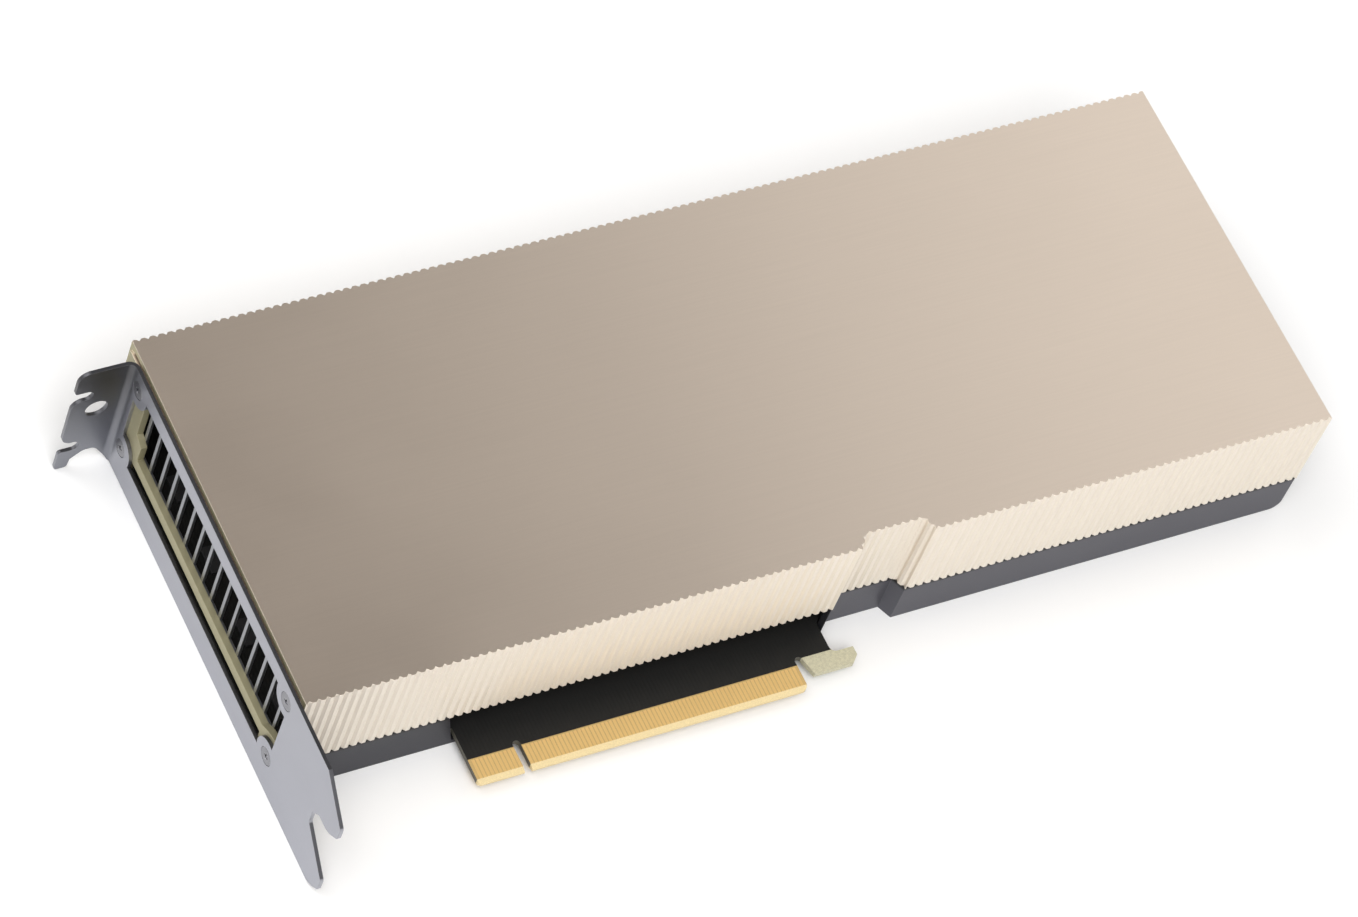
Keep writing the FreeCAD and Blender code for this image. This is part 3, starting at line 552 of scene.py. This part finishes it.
@dataclass(frozen=True)
class TrayFinish(Finish):
    """Anodised sheet with painted shade in the seam under the cover's edge."""

    # Painted shade in the seam under the cover's edge: its colour, breakup and strength.
    seam_shade: Colour = (0.012, 0.011, 0.008)
    seam_shade_breakup: float = 500.0
    seam_shade_share: Span = (0.6, 1.0)
    seam: Span = (0.0083, 0.0093)

    def base_colour(self, nodes: Nodes, spot: Socket) -> object:
        """Sheet colour, with painted shade along the seam."""
        # Sheet colour, with the painted light along X that its tone gives.
        sheet = super().base_colour(nodes, spot)
        # Painted shade: darker near the top of the wall, broken up by noise.
        rise = nodes.remap(nodes.place(spot)[2], *self.seam)
        patches = nodes.noise(spot, self.seam_shade_breakup, detail=3.0, rough=0.6)
        broken = nodes.remap(patches, *PATCH_BAND, *self.seam_shade_share)
        return nodes.mix(nodes.times(rise, broken), sheet, self.seam_shade)


@dataclass(frozen=True)
class BracketFinish(Finish):
    """Plated sheet with painted shade on its upward-facing cut edges, and painted reflection and
    shade on the flange beyond the bend.
    """

    # Painted shade on upward faces; on the flange, painted reflection low and painted shade high.
    upward_edge_shade: Colour = (0.11, 0.11, 0.12)
    flange_low_reflection: Colour = (0.25, 0.256, 0.283)
    flange_high_shade: Colour = (0.095, 0.095, 0.1)
    bend: Span = (0.1045, 0.1066)
    rise: Span = (0.004, 0.031)
    upward_slope: Span = (0.55, 0.8)

    def base_colour(self, nodes: Nodes, spot: Socket) -> object:
        """Plate colour, painted reflection and shade on the flange, and painted shade on
        upward-facing edges.
        """
        _, y, z = nodes.place(spot)
        # Painted reflection low on the flange, fading to painted shade high on it.
        flange = nodes.mix(nodes.remap(z, *self.rise), self.flange_low_reflection, self.flange_high_shade)
        sheet = nodes.mix(nodes.remap(y, *self.bend), self.colour, flange)
        # Painted shade on faces that look up, such as the cut edges under the cover.
        upward = nodes.remap(nodes.upward(), *self.upward_slope)
        return nodes.mix(upward, sheet, self.upward_edge_shade)


class Palette:
    """Every finish of the card, built once and handed out by name."""

    FINISHES = (
        Finish(
            "champagne_anodised",
            (0.83, 0.715, 0.605),
            roughness=0.32,
            lay=Lay.ALONG_X,
            grain_scale=1800.0,
            grain_colour=0.012,
            grain_roughness=0.0,
            grain_depth=0.0,
            smudge_scale=14.0,
            smudge_roughness=0.03,
            wear_and_highlight_colour=(0.93, 0.86, 0.76),
            wear_and_highlight_amount=0.6,
        ),
        Finish(
            "champagne_flutes",
            (0.78, 0.71, 0.615),
            metallic=0.35,
            roughness=0.45,
            lay=Lay.ALONG_Z,
            grain_scale=7000.0,
            grain_colour=0.03,
            grain_depth=2e-6,
            smudge_scale=14.0,
            smudge_roughness=0.03,
            wear_and_highlight_colour=(0.93, 0.86, 0.76),
            wear_and_highlight_amount=0.3,
        ),
        # The champagne metal of the frame behind the bracket, darkened: painted shade in the
        # recess.
        Finish(
            "shaded_end_frame",
            (0.36, 0.33, 0.205),
            metallic=0.5,
            roughness=0.45,
            grain_scale=8000.0,
            wear_and_highlight_colour=(0.62, 0.58, 0.42),
        ),
        TrayFinish(
            "graphite_tray",
            (0.053, 0.053, 0.062),
            metallic=0.75,
            roughness=0.42,
            grain_scale=11000.0,
            grain_depth=6e-6,
            wear_and_highlight_colour=(0.26, 0.26, 0.29),
            # Painted light: the sheet grows lighter from the bracket end towards the tail.
            tone=Tone((0.10, 0.10, 0.116), axis=0, start=0.0, end=0.09),
        ),
        BracketFinish(
            "nickel_bracket",
            (0.37, 0.375, 0.413),
            roughness=0.36,
            lay=Lay.ALONG_Y,
            grain_scale=6000.0,
            grain_depth=3e-6,
            wear_and_highlight_colour=(0.42, 0.425, 0.45),
            wear_and_highlight_amount=0.35,
        ),
        Finish(
            "vent_grille_steel",
            (0.30, 0.31, 0.33),
            roughness=0.38,
            lay=Lay.ALONG_Z,
            wear_and_highlight_colour=(0.6, 0.6, 0.62),
        ),
        Finish(
            "zinc_screw",
            (0.24, 0.24, 0.26),
            roughness=0.32,
            grain_scale=14000.0,
            wear_and_highlight_colour=(0.75, 0.75, 0.76),
            wear_and_highlight_amount=0.6,
        ),
        BoardFinish(
            "board_mask",
            (0.012, 0.012, 0.0115),
            metallic=0.0,
            roughness=0.5,
            grain_scale=5000.0,
            grain_colour=0.15,
            grain_depth=8e-6,
            wear_and_highlight_amount=0.0,
            specular=0.25,
        ),
        Finish(
            "contact_gold",
            (0.735, 0.512, 0.207),
            metallic=0.55,
            roughness=0.36,
            lay=Lay.ALONG_Y,
            grain_depth=2e-6,
            wear_and_highlight_colour=(0.95, 0.78, 0.5),
            wear_and_highlight_radius=0.00006,
            wear_and_highlight_amount=0.3,
        ),
        Finish(
            "insulating_film",
            (0.03, 0.03, 0.035),
            metallic=0.0,
            roughness=0.35,
            grain_scale=2500.0,
            wear_and_highlight_amount=0.0,
            coat=0.3,
        ),
        Finish(
            "plated_copper_base",
            (0.50, 0.40, 0.33),
            roughness=0.34,
            lay=Lay.ALONG_X,
            wear_and_highlight_colour=(0.8, 0.55, 0.4),
        ),
        Finish(
            "plain_aluminium",
            (0.42, 0.43, 0.45),
            roughness=0.33,
            lay=Lay.ALONG_X,
            grain_scale=6000.0,
            wear_and_highlight_colour=(0.7, 0.7, 0.72),
            wear_and_highlight_radius=0.0001,
        ),
        Finish(
            "package_laminate",
            (0.05, 0.10, 0.055),
            metallic=0.0,
            roughness=0.45,
            grain_scale=4000.0,
            wear_and_highlight_colour=(0.3, 0.32, 0.2),
            coat=0.2,
        ),
        Finish(
            "polished_silicon",
            (0.16, 0.16, 0.19),
            metallic=0.7,
            roughness=0.16,
            wear_and_highlight_amount=0.2,
        ),
        Finish(
            "thermal_paste",
            (0.38, 0.38, 0.39),
            metallic=0.1,
            roughness=0.7,
            grain_scale=1800.0,
            grain_colour=0.15,
            grain_depth=3e-5,
            wear_and_highlight_amount=0.0,
        ),
        Finish(
            "soft_thermal_pad",
            (0.30, 0.36, 0.42),
            metallic=0.0,
            roughness=0.82,
            grain_scale=2400.0,
            grain_colour=0.1,
            grain_depth=2e-5,
            wear_and_highlight_amount=0.0,
        ),
        Finish(
            "chip_moulding",
            (0.025, 0.025, 0.027),
            metallic=0.0,
            roughness=0.55,
            grain_scale=6000.0,
            grain_colour=0.2,
            grain_depth=1e-5,
            wear_and_highlight_colour=(0.12, 0.12, 0.12),
        ),
        Finish(
            "choke_ferrite",
            (0.11, 0.11, 0.115),
            metallic=0.2,
            roughness=0.6,
            grain_scale=5000.0,
            grain_colour=0.2,
            grain_depth=1.5e-5,
            wear_and_highlight_colour=(0.3, 0.3, 0.3),
        ),
        Finish("can_aluminium", (0.66, 0.67, 0.69), roughness=0.28, lay=Lay.ALONG_Z),
        Finish(
            "socket_nylon",
            (0.022, 0.022, 0.024),
            metallic=0.0,
            roughness=0.5,
            grain_scale=3500.0,
            grain_colour=0.15,
            grain_depth=1e-5,
            wear_and_highlight_colour=(0.13, 0.13, 0.13),
        ),
        Finish("tin_pin", (0.62, 0.60, 0.55), roughness=0.3, lay=Lay.ALONG_X),
        Finish("brass_spacer", (0.62, 0.48, 0.25), roughness=0.35, lay=Lay.ALONG_Z),
    )

    def __init__(self, effects: EffectLibrary) -> None:
        """Build every finish with the shared effects."""
        self.materials = {finish.name: finish.build(effects) for finish in self.FINISHES}

    def dress(self, piece: bpy.types.Object, finish: str) -> None:
        """Give a piece one finish all over.

        Args:
            piece: the object.
            finish: the finish's name.
        """
        slots = piece.data.materials
        if len(slots) == 0:
            slots.append(self.materials[finish])
        for index in range(len(slots)):
            slots[index] = self.materials[finish]

    def dress_node(self, node: str, finish: str) -> None:
        """Give a node's own mesh one finish all over."""
        self.dress(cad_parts[node], finish)

    def dress_faces(
        self,
        piece: bpy.types.Object,
        finish: str,
        chosen: Callable[[bpy.types.MeshPolygon], bool],
    ) -> None:
        """Give some faces of a piece a further finish.

        Args:
            piece: the object, already dressed.
            finish: the further finish's name.
            chosen: tells which faces take it.
        """
        piece.data.materials.append(self.materials[finish])
        last = len(piece.data.materials) - 1
        for face in piece.data.polygons:
            if chosen(face):
                face.material_index = last


# -------------------------------------------------------------- modelling steps


# Faces that meet at less than this many degrees are shaded as one curve.
SMOOTH_WITHIN = 50.0
# Triangles within this many degrees of one plane are joined into one face.
FLAT_WITHIN = 0.5
# The highest weight that the large faces can have in a corner's normal.
FULL_WEIGHT = 100
# Corners are sorted by their places in metres, rounded to this many decimals.
SORT_DECIMALS = 6


def new_object(name: str, data: bpy.types.ID) -> bpy.types.Object:
    """Put a mesh, lamp or camera into the scene.

    Args:
        name: name of the object.
        data: what it shows.

    Returns:
        The object.
    """
    made = bpy.data.objects.new(name, data)
    bpy.context.scene.collection.objects.link(made)
    return made


def deselect_all() -> None:
    """Leave nothing selected and no object active."""
    bpy.ops.object.select_all(action="DESELECT")
    bpy.context.view_layer.objects.active = None


def make_active(piece: bpy.types.Object) -> None:
    """Select one object alone and make it active."""
    deselect_all()
    piece.select_set(True)
    bpy.context.view_layer.objects.active = piece


def edit_all(piece: bpy.types.Object) -> None:
    """Go into edit mode on one object with all of it selected."""
    make_active(piece)
    bpy.ops.object.mode_set(mode="EDIT")
    bpy.ops.mesh.select_all(action="SELECT")


def leave_edit() -> None:
    """Go back to object mode."""
    bpy.ops.object.mode_set(mode="OBJECT")


def finish_modifiers(piece: bpy.types.Object) -> None:
    """Apply every modifier of a piece."""
    make_active(piece)
    for modifier in list(piece.modifiers):
        bpy.ops.object.modifier_apply(modifier=modifier.name)


def shade_smooth(piece: bpy.types.Object, angle: float = SMOOTH_WITHIN) -> None:
    """Shade a piece smooth where its faces meet at less than some degrees."""
    make_active(piece)
    bpy.ops.object.shade_smooth_by_angle(angle=math.radians(angle))


def soften(piece: bpy.types.Object, width: float, segments: int = 2, angle: float = 30.0) -> None:
    """Round the edges of a piece and shade it smooth between them.

    Args:
        piece: the object.
        width: width of the rounding.
        segments: faces across it.
        angle: edges sharper than this many degrees are rounded.
    """
    bevel = piece.modifiers.new("rounded_edges", "BEVEL")
    bevel.width = width
    bevel.segments = segments
    bevel.limit_method = "ANGLE"
    bevel.angle_limit = math.radians(angle)
    finish_modifiers(piece)
    shade_smooth(piece)
    even = piece.modifiers.new("even_faces", "WEIGHTED_NORMAL")
    even.mode = "FACE_AREA"
    even.weight = FULL_WEIGHT
    even.keep_sharp = True
    finish_modifiers(piece)


def refined_copy(node: str, name: str) -> bpy.types.Object:
    """A free copy of a node's shape, with its loose triangles joined into whole faces.

    Args:
        node: the node.
        name: name of the copy.

    Returns:
        The copy.
    """
    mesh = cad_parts[node].data.copy()
    mesh.name = name
    mesh.materials.clear()
    piece = new_object(name, mesh)
    edit_all(piece)
    bpy.ops.mesh.remove_doubles(threshold=WELD)
    bpy.ops.mesh.dissolve_limited(angle_limit=math.radians(FLAT_WITHIN))
    bpy.ops.mesh.normals_make_consistent(inside=False)
    leave_edit()
    return piece


def turned(name: str, steps: list[tuple[float, float]], sides: int = 40) -> bpy.types.Object:
    """A turned solid on the Z axis.

    Args:
        name: name of the piece.
        steps: radius and height of each ring, from the foot up.
        sides: faces round it.

    Returns:
        The piece.
    """
    deselect_all()
    radius, height = steps[0]
    bpy.ops.mesh.primitive_circle_add(
        vertices=sides, radius=radius, fill_type="NGON", location=(0.0, 0.0, height)
    )
    piece = bpy.context.active_object
    piece.name = name
    bpy.ops.object.transform_apply(location=True, rotation=False, scale=False)
    edit_all(piece)
    for next_radius, next_height in steps[1:]:
        rise = (0.0, 0.0, next_height - height)
        bpy.ops.mesh.extrude_region_move(TRANSFORM_OT_translate={"value": rise})
        ratio = next_radius / radius
        bpy.ops.transform.resize(value=(ratio, ratio, 1.0), center_override=(0.0, 0.0, next_height))
        radius, height = next_radius, next_height
    bpy.ops.mesh.select_all(action="SELECT")
    bpy.ops.mesh.normals_make_consistent(inside=False)
    leave_edit()
    return piece


def cut_away(piece: bpy.types.Object, tool: bpy.types.Object) -> None:
    """Cut one solid out of another and delete the tool.

    Args:
        piece: what is cut.
        tool: what is cut out of it.
    """
    boolean = piece.modifiers.new("recess", "BOOLEAN")
    boolean.operation = "DIFFERENCE"
    boolean.object = tool
    boolean.solver = "EXACT"
    finish_modifiers(piece)
    bpy.data.objects.remove(tool, do_unlink=True)


def copies_at(piece: bpy.types.Object, name: str, places: list[Matrix]) -> list[bpy.types.Object]:
    """Copies of a piece, each with its own mesh already in place; the first model goes.

    Args:
        piece: the model, at the origin.
        name: start of each copy's name.
        places: where each copy goes.

    Returns:
        The copies.
    """
    made = []
    for number, place in enumerate(places, start=1):
        mesh = piece.data.copy()
        mesh.transform(place)
        made.append(new_object(f"{name}_{number}", mesh))
    bpy.data.objects.remove(piece, do_unlink=True)
    return made


def solid_boxes(node: str) -> list[Box]:
    """Boxes of a node's separate solids, in the order of their low corners.

    Args:
        node: the node.

    Returns:
        The low and high corner of each solid.
    """
    whole = refined_copy(node, f"{node}_parts")
    make_active(whole)
    bpy.ops.mesh.separate(type="LOOSE")
    boxes = []
    for part in list(bpy.context.selected_objects):
        corners = [vertex.co for vertex in part.data.vertices]
        low = Vector([min(corner[axis] for corner in corners) for axis in range(3)])
        high = Vector([max(corner[axis] for corner in corners) for axis in range(3)])
        boxes.append((low, high))
        bpy.data.objects.remove(part, do_unlink=True)
    return sorted(boxes, key=lambda box: tuple(round(value, SORT_DECIMALS) for value in box[0]))


def standing_places(boxes: list[Box]) -> list[Matrix]:
    """Places in the middle of each box's floor."""
    places = []
    for low, high in boxes:
        middle = (low + high) / 2
        places.append(Matrix.Translation((middle.x, middle.y, low.z)))
    return places


# ---------------------------------------------------------------- sub-assemblies


def report(piece: bpy.types.Object, body: str, slot: str, *nodes: str) -> None:
    """Ride a finished piece on its body, say what it stands for, and log it.

    Args:
        piece: the piece.
        body: body that carries it.
        slot: a material slot's name; not used.
        nodes: nodes that it replaces.
    """
    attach(piece, body)
    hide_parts(*nodes)
    log.info("%s: %d faces, in place of %s", piece.name, len(piece.data.polygons), ", ".join(nodes))


@dataclass(frozen=True)
class Shell:
    """A node whose own shape is refined, softened and dressed as one piece."""

    node: str
    name: str
    finish: str
    slot: str
    rounding: float
    segments: int = 2

    def build(self, palette: Palette) -> None:
        """Make the piece with a finish of the palette."""
        piece = refined_copy(self.node, self.name)
        soften(piece, self.rounding, self.segments)
        palette.dress(piece, self.finish)
        report(piece, "root", self.slot, self.node)


@dataclass
class Housing:
    """The ribbed cover and the folded tray that close round the board."""

    palette: Palette
    rib_rounding: float = 0.16 * MM
    rib_angle: float = 25.0
    side_slope: float = 0.7
    frame_depth: float = 1.8 * MM
    wall: float = 3.4 * MM
    tray: Shell = Shell("tray", "folded_tray", "graphite_tray", "tray_metal", 0.2 * MM)

    def build(self) -> None:
        """Build both shells."""
        self.build_cover()
        self.tray.build(self.palette)

    def build_cover(self) -> None:
        """The cover, with rounded flutes, a broken top edge and painted shade on the frame behind
        the bracket.
        """
        cover = refined_copy("cover", "ribbed_cover")
        soften(cover, self.rib_rounding, angle=self.rib_angle)
        self.palette.dress(cover, "champagne_anodised")
        self.palette.dress_faces(cover, "champagne_flutes", self.is_flute)
        low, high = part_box("cover")
        # Painted shade: the frame behind the bracket takes a darker copy of the champagne.
        self.palette.dress_faces(
            cover, "shaded_end_frame", lambda face: self.is_end_frame(face, low, high)
        )
        report(cover, "root", "cover_metal", "cover")

    def is_flute(self, face: bpy.types.MeshPolygon) -> bool:
        """Whether a face of the cover stands upright."""
        return abs(face.normal.z) < self.side_slope

    def is_end_frame(self, face: bpy.types.MeshPolygon, low: Vector, high: Vector) -> bool:
        """Whether a face belongs to the frame behind the bracket.

        Args:
            face: a face of the cover.
            low: low corner of the cover's box.
            high: high corner of the cover's box.

        Returns:
            True for a face of the frame.
        """
        middle = face.center
        between_walls = low.y + self.wall < middle.y < high.y - self.wall
        at_end = middle.x < low.x + self.frame_depth
        return between_walls and at_end and middle.z < high.z - self.wall


@dataclass
class Screw:
    """A flat-headed screw with a cross recess."""

    head_radius: float
    head_height: float
    shank_radius: float
    length: float
    rim: float = 0.12 * MM
    recess_radius: float = 1.25 * MM
    recess_arm: float = 0.5 * MM
    recess_depth: float = 0.75 * MM
    recess_taper: Span = (0.45, 0.8)
    smooth_within: float = 30.0
    countersunk: bool = False

    def build(self, name: str) -> bpy.types.Object:
        """Model the screw standing on its head, head face at height 0.

        Args:
            name: name of the piece.

        Returns:
            The screw.
        """
        rim_height = self.rim / 2 if self.countersunk else self.rim
        steps = [(self.head_radius - self.rim, 0.0), (self.head_radius, rim_height)]
        if not self.countersunk:
            steps.append((self.head_radius, self.head_height))
        steps += [
            (self.shank_radius, self.head_height),
            (self.shank_radius, self.length - self.rim),
            (self.shank_radius - self.rim, self.length),
        ]
        screw = turned(name, steps)
        for turn in (0.0, math.pi / 2):
            cut_away(screw, self.recess_wing(turn))
        shade_smooth(screw, self.smooth_within)
        return screw

    def recess_wing(self, turn: float) -> bpy.types.Object:
        """One wing of the cross: a tapering bar let into the head.

        Args:
            turn: angle of the wing about Z.

        Returns:
            The cutter.
        """
        deselect_all()
        bpy.ops.mesh.primitive_cube_add(size=1.0, location=(0.0, 0.0, 0.0))
        wing = bpy.context.active_object
        wing.scale = (2 * self.recess_radius, self.recess_arm, 2 * self.recess_depth)
        bpy.ops.object.transform_apply(location=False, rotation=False, scale=True)
        corners = wing.data.vertices
        for element in (*wing.data.polygons, *wing.data.edges):
            element.select = all(corners[index].co.z > 0 for index in element.vertices)
        for corner in corners:
            corner.select = corner.co.z > 0
        bpy.ops.object.mode_set(mode="EDIT")
        bpy.ops.transform.resize(
            value=(*self.recess_taper, 1.0), center_override=(0.0, 0.0, self.recess_depth)
        )
        leave_edit()
        wing.data.transform(Matrix.Rotation(turn, 4, "Z"))
        return wing


@dataclass
class Fasteners:
    """Screws of the bracket and of the tray, and the spacers that they pass through."""

    palette: Palette
    bracket_sheet: float = 0.94 * MM
    tray_countersink: float = 1.1 * MM
    shank_radius: float = 1.25 * MM
    head_play: float = 0.02 * MM

    def build(self) -> None:
        """Build and place every screw, and dress the spacers."""
        self.build_bracket_screws()
        self.build_tray_screws()
        for node in ("lower_spacers", "upper_spacers"):
            self.palette.dress_node(node, "brass_spacer")

    def build_bracket_screws(self) -> None:
        """Four flush screws whose heads look along -X."""
        boxes = solid_boxes("bracket_screws")
        low, high = boxes[0]
        screw = Screw(
            head_radius=(high.y - low.y) / 2 - self.head_play,
            head_height=self.bracket_sheet,
            shank_radius=self.shank_radius,
            length=high.x - low.x,
        )
        turn = Matrix.Rotation(math.pi / 2, 4, "Y")
        places = []
        for low, high in boxes:
            middle = (low + high) / 2
            places.append(Matrix.Translation((low.x, middle.y, middle.z)) @ turn)
        self.drive(screw, "bracket_screw", "bracket_screws", places)

    def build_tray_screws(self) -> None:
        """Countersunk screws whose heads lie flush in the tray's underside."""
        boxes = solid_boxes("tray_screws")
        low, high = boxes[0]
        screw = Screw(
            head_radius=(high.x - low.x) / 2 - self.head_play,
            head_height=self.tray_countersink,
            shank_radius=self.shank_radius,
            length=high.z - low.z,
            countersunk=True,
        )
        self.drive(screw, "tray_screw", "tray_screws", standing_places(boxes))

    def drive(self, screw: Screw, name: str, node: str, places: list[Matrix]) -> None:
        """Set one screw at each place.

        Args:
            screw: the screw.
            name: start of each copy's name.
            node: the node that the copies replace.
            places: where they go, each turned its own way.
        """
        for piece in copies_at(screw.build(name), name, places):
            self.palette.dress(piece, "zinc_screw")
            report(piece, "root", "screw_steel", node)


@dataclass
class BracketEnd:
    """The slotted bracket and the grille behind it."""

    palette: Palette
    shells: tuple[Shell, ...] = (
        Shell("io_bracket", "slotted_bracket", "nickel_bracket", "bracket_steel", 0.09 * MM),
        Shell("vent_grille", "barred_grille", "vent_grille_steel", "grille_steel", 0.16 * MM),
    )

    def build(self) -> None:
        """Build the bracket and the grille."""
        for shell in self.shells:
            shell.build(self.palette)


@dataclass
class BoardAssembly:
    """The board with its contacts, and what is soldered to it."""

    palette: Palette
    can_bead: float = 0.35 * MM
    can_smooth_within: float = 40.0
    dressed: tuple[tuple[str, str], ...] = (
        ("main_board", "board_mask"),
        ("insulating_film", "insulating_film"),
        ("thermal_paste", "thermal_paste"),
        ("processor_substrate", "package_laminate"),
        ("processor_die", "polished_silicon"),
        ("memory_stacks", "chip_moulding"),
        ("thermal_pads", "soft_thermal_pad"),
    )
    shells: tuple[Shell, ...] = (
        Shell("power_stages", "power_stage_chips", "chip_moulding", "chip_plastic", 0.08 * MM),
        Shell("chokes", "choke_blocks", "choke_ferrite", "choke_ferrite", 0.08 * MM),
        Shell("controllers", "controller_chips", "chip_moulding", "chip_plastic", 0.08 * MM),
        Shell("power_pins", "socket_pins", "tin_pin", "pin_metal", 0.08 * MM),
        Shell("edge_contacts", "gold_contacts", "contact_gold", "contact_gold", 0.012 * MM, 1),
    )
    socket: Shell = Shell(
        "power_socket", "moulded_power_socket", "socket_nylon", "socket_plastic", 0.15 * MM
    )

    def build(self) -> None:
        """Dress the board and build what stands on it."""
        for node, finish in self.dressed:
            self.palette.dress_node(node, finish)
        for shell in self.shells:
            shell.build(self.palette)
        self.build_capacitors()
        self.socket.build(self.palette)

    def build_capacitors(self) -> None:
        """Aluminium cans with a rolled foot and a domed shoulder."""
        boxes = solid_boxes("capacitors")
        low, high = boxes[0]
        radius = (high.x - low.x) / 2
        height = high.z - low.z
        bead = self.can_bead
        can = turned(
            "capacitor_can",
            [
                (radius - bead, 0.0),
                (radius, bead),
                (radius, 4 * bead),
                (radius - bead, 5 * bead),
                (radius - bead, 6 * bead),
                (radius, 7 * bead),
                (radius, height - bead),
                (radius - bead / 3, height - bead / 3),
                (radius - bead, height),
                (radius - 2 * bead, height),
                (radius - 2.5 * bead, height - bead / 2),
            ],
        )
        shade_smooth(can, self.can_smooth_within)
        for piece in copies_at(can, "capacitor_can", standing_places(boxes)):
            self.palette.dress(piece, "can_aluminium")
            report(piece, "root", "can_aluminium", "capacitors")


@dataclass
class HeatSink:
    """Base and fins of the heat sink."""

    palette: Palette

    def build(self) -> None:
        """Dress both nodes."""
        self.palette.dress_node("heat_sink_base", "plated_copper_base")
        self.palette.dress_node("heat_sink_fins", "plain_aluminium")


# ------------------------------------------------------------------------ studio


@dataclass(frozen=True)
class SoftBox:
    """A rectangular lamp."""

    name: str
    place: Point
    aim: Point
    size: Span
    power: float

    def build(self) -> None:
        """Hang the lamp and turn it to its aim."""
        lamp = bpy.data.lights.new(self.name, "AREA")
        lamp.shape = "RECTANGLE"
        lamp.size, lamp.size_y = self.size
        lamp.energy = self.power
        hung = new_object(self.name, lamp)
        way = Vector(self.aim) - Vector(self.place)
        hung.location = self.place
        hung.rotation_mode = "QUATERNION"
        hung.rotation_quaternion = way.to_track_quat("-Z", "Y")
        hung.visible_camera = False


@dataclass(frozen=True)
class Viewpoint:
    """The camera, given by the direction that it looks from and how far it is tilted."""

    azimuth: float = -45.25
    elevation: float = 53.37
    tilt: float = 24.0
    distance: float = 1.3904
    aim: Point = (0.0754, 0.0600, 0.0157)
    slide: Span = (-0.01085, -0.00418)
    lens: float = 158.87
    sensor: float = 36.0
    clip: Span = (0.05, 20.0)

    def build(self) -> None:
        """Make the camera and give it to the scene."""
        around = math.radians(self.azimuth)
        above = math.radians(self.elevation)
        tilt = math.radians(self.tilt)
        reach = math.cos(above)
        back = Vector((math.sin(around) * reach, -math.cos(around) * reach, math.sin(above)))
        level = Vector((math.cos(around), math.sin(around), 0.0))
        up = back.cross(level)
        right = level * math.cos(tilt) + up * math.sin(tilt)
        up = up * math.cos(tilt) - level * math.sin(tilt)
        place = Vector(self.aim) + right * self.slide[0] + up * self.slide[1] + back * self.distance
        data = bpy.data.cameras.new("camera")
        data.lens = self.lens
        data.sensor_width = self.sensor
        data.clip_start, data.clip_end = self.clip
        camera = new_object("camera", data)
        turn = Matrix((right, up, back)).transposed().to_4x4()
        camera.matrix_world = Matrix.Translation(place) @ turn
        bpy.context.scene.camera = camera


@dataclass
class Studio:
    """Pale floor, soft lamps and a plain surrounding light."""

    floor_size: float = 12.0
    floor_shades: tuple[Colour, Colour] = ((0.90, 0.90, 0.90), (0.93, 0.93, 0.93))
    floor_roughness: Span = (0.75, 0.85)
    floor_specular: float = 0.2
    floor_clouds: float = 3.0
    dim_side: float = 0.065
    bright_side: float = 0.52
    dim_colour: Colour = (1.0, 0.86, 0.73)
    bright_colour: Colour = (1.0, 0.99, 0.98)
    bright_way: Point = (-0.707, -0.707, 0.0)
    turning: Span = (-0.25, 0.15)
    lamps: tuple[SoftBox, ...] = (
        SoftBox("tail_softbox", (1.51, 0.7, 1.25), (1.51, 0.7, 0.0), (1.6, 2.2), 10.5),
        SoftBox("front_softbox", (-0.55, -1.2, 2.05), (0.1, -0.1, 0.0), (1.9, 1.9), 50.0),
        SoftBox("far_softbox", (-1.1, 1.4, 2.1), (0.0, 0.1, 0.0), (2.4, 2.4), 36.0),
    )

    def build(self) -> None:
        """Lay the floor, hang the lamps, light the surroundings and set the camera."""
        self.build_floor()
        for lamp in self.lamps:
            lamp.build()
        self.build_surround()
        Viewpoint().build()
        bpy.context.scene.view_settings.view_transform = "Standard"

    def build_floor(self) -> None:
        """A plain pale floor under the lowest point of the card."""
        low, _ = cad_bounds
        deselect_all()
        bpy.ops.mesh.primitive_plane_add(size=self.floor_size, location=(0.0, 0.0, low.z))
        floor = bpy.context.active_object
        floor.name = "studio_floor"
        material = bpy.data.materials.new("pale_floor")
        material.use_nodes = True
        nodes = Nodes(material.node_tree)
        shader = material.node_tree.nodes["Principled BSDF"]
        shader.inputs["Specular IOR Level"].default_value = self.floor_specular
        cloud = nodes.noise(nodes.position(), self.floor_clouds, detail=3.0)
        nodes.feed(shader.inputs["Base Color"], nodes.mix(cloud, *self.floor_shades))
        rough = nodes.remap(cloud, *NOISE_BAND, *self.floor_roughness)
        nodes.feed(shader.inputs["Roughness"], rough)
        floor.data.materials.append(material)

    def build_surround(self) -> None:
        """A warm light from all round, bright on one side and dim on the other."""
        world = bpy.data.worlds.new("surround")
        world.use_nodes = True
        nodes = Nodes(world.node_tree)
        background = world.node_tree.nodes["Background"]
        way = nodes.add("ShaderNodeTexCoord").outputs["Generated"]
        toward = nodes.vector("DOT_PRODUCT", way, self.bright_way).outputs["Value"]
        share = nodes.remap(toward, *self.turning)
        colour = nodes.mix(share, self.dim_colour, self.bright_colour)
        nodes.feed(background.inputs["Color"], colour)
        strength = nodes.remap(share, 0.0, 1.0, self.dim_side, self.bright_side)
        nodes.feed(background.inputs["Strength"], strength)
        bpy.context.scene.world = world


def main() -> None:
    """Build the card's sub-assemblies in order, then the studio."""
    logging.basicConfig(level=logging.INFO, format="%(message)s")
    palette = Palette(EffectLibrary())
    for part in (Housing, Fasteners, BracketEnd, BoardAssembly, HeatSink):
        part(palette).build()
    Studio().build()


if __name__ == "__main__":
    main()
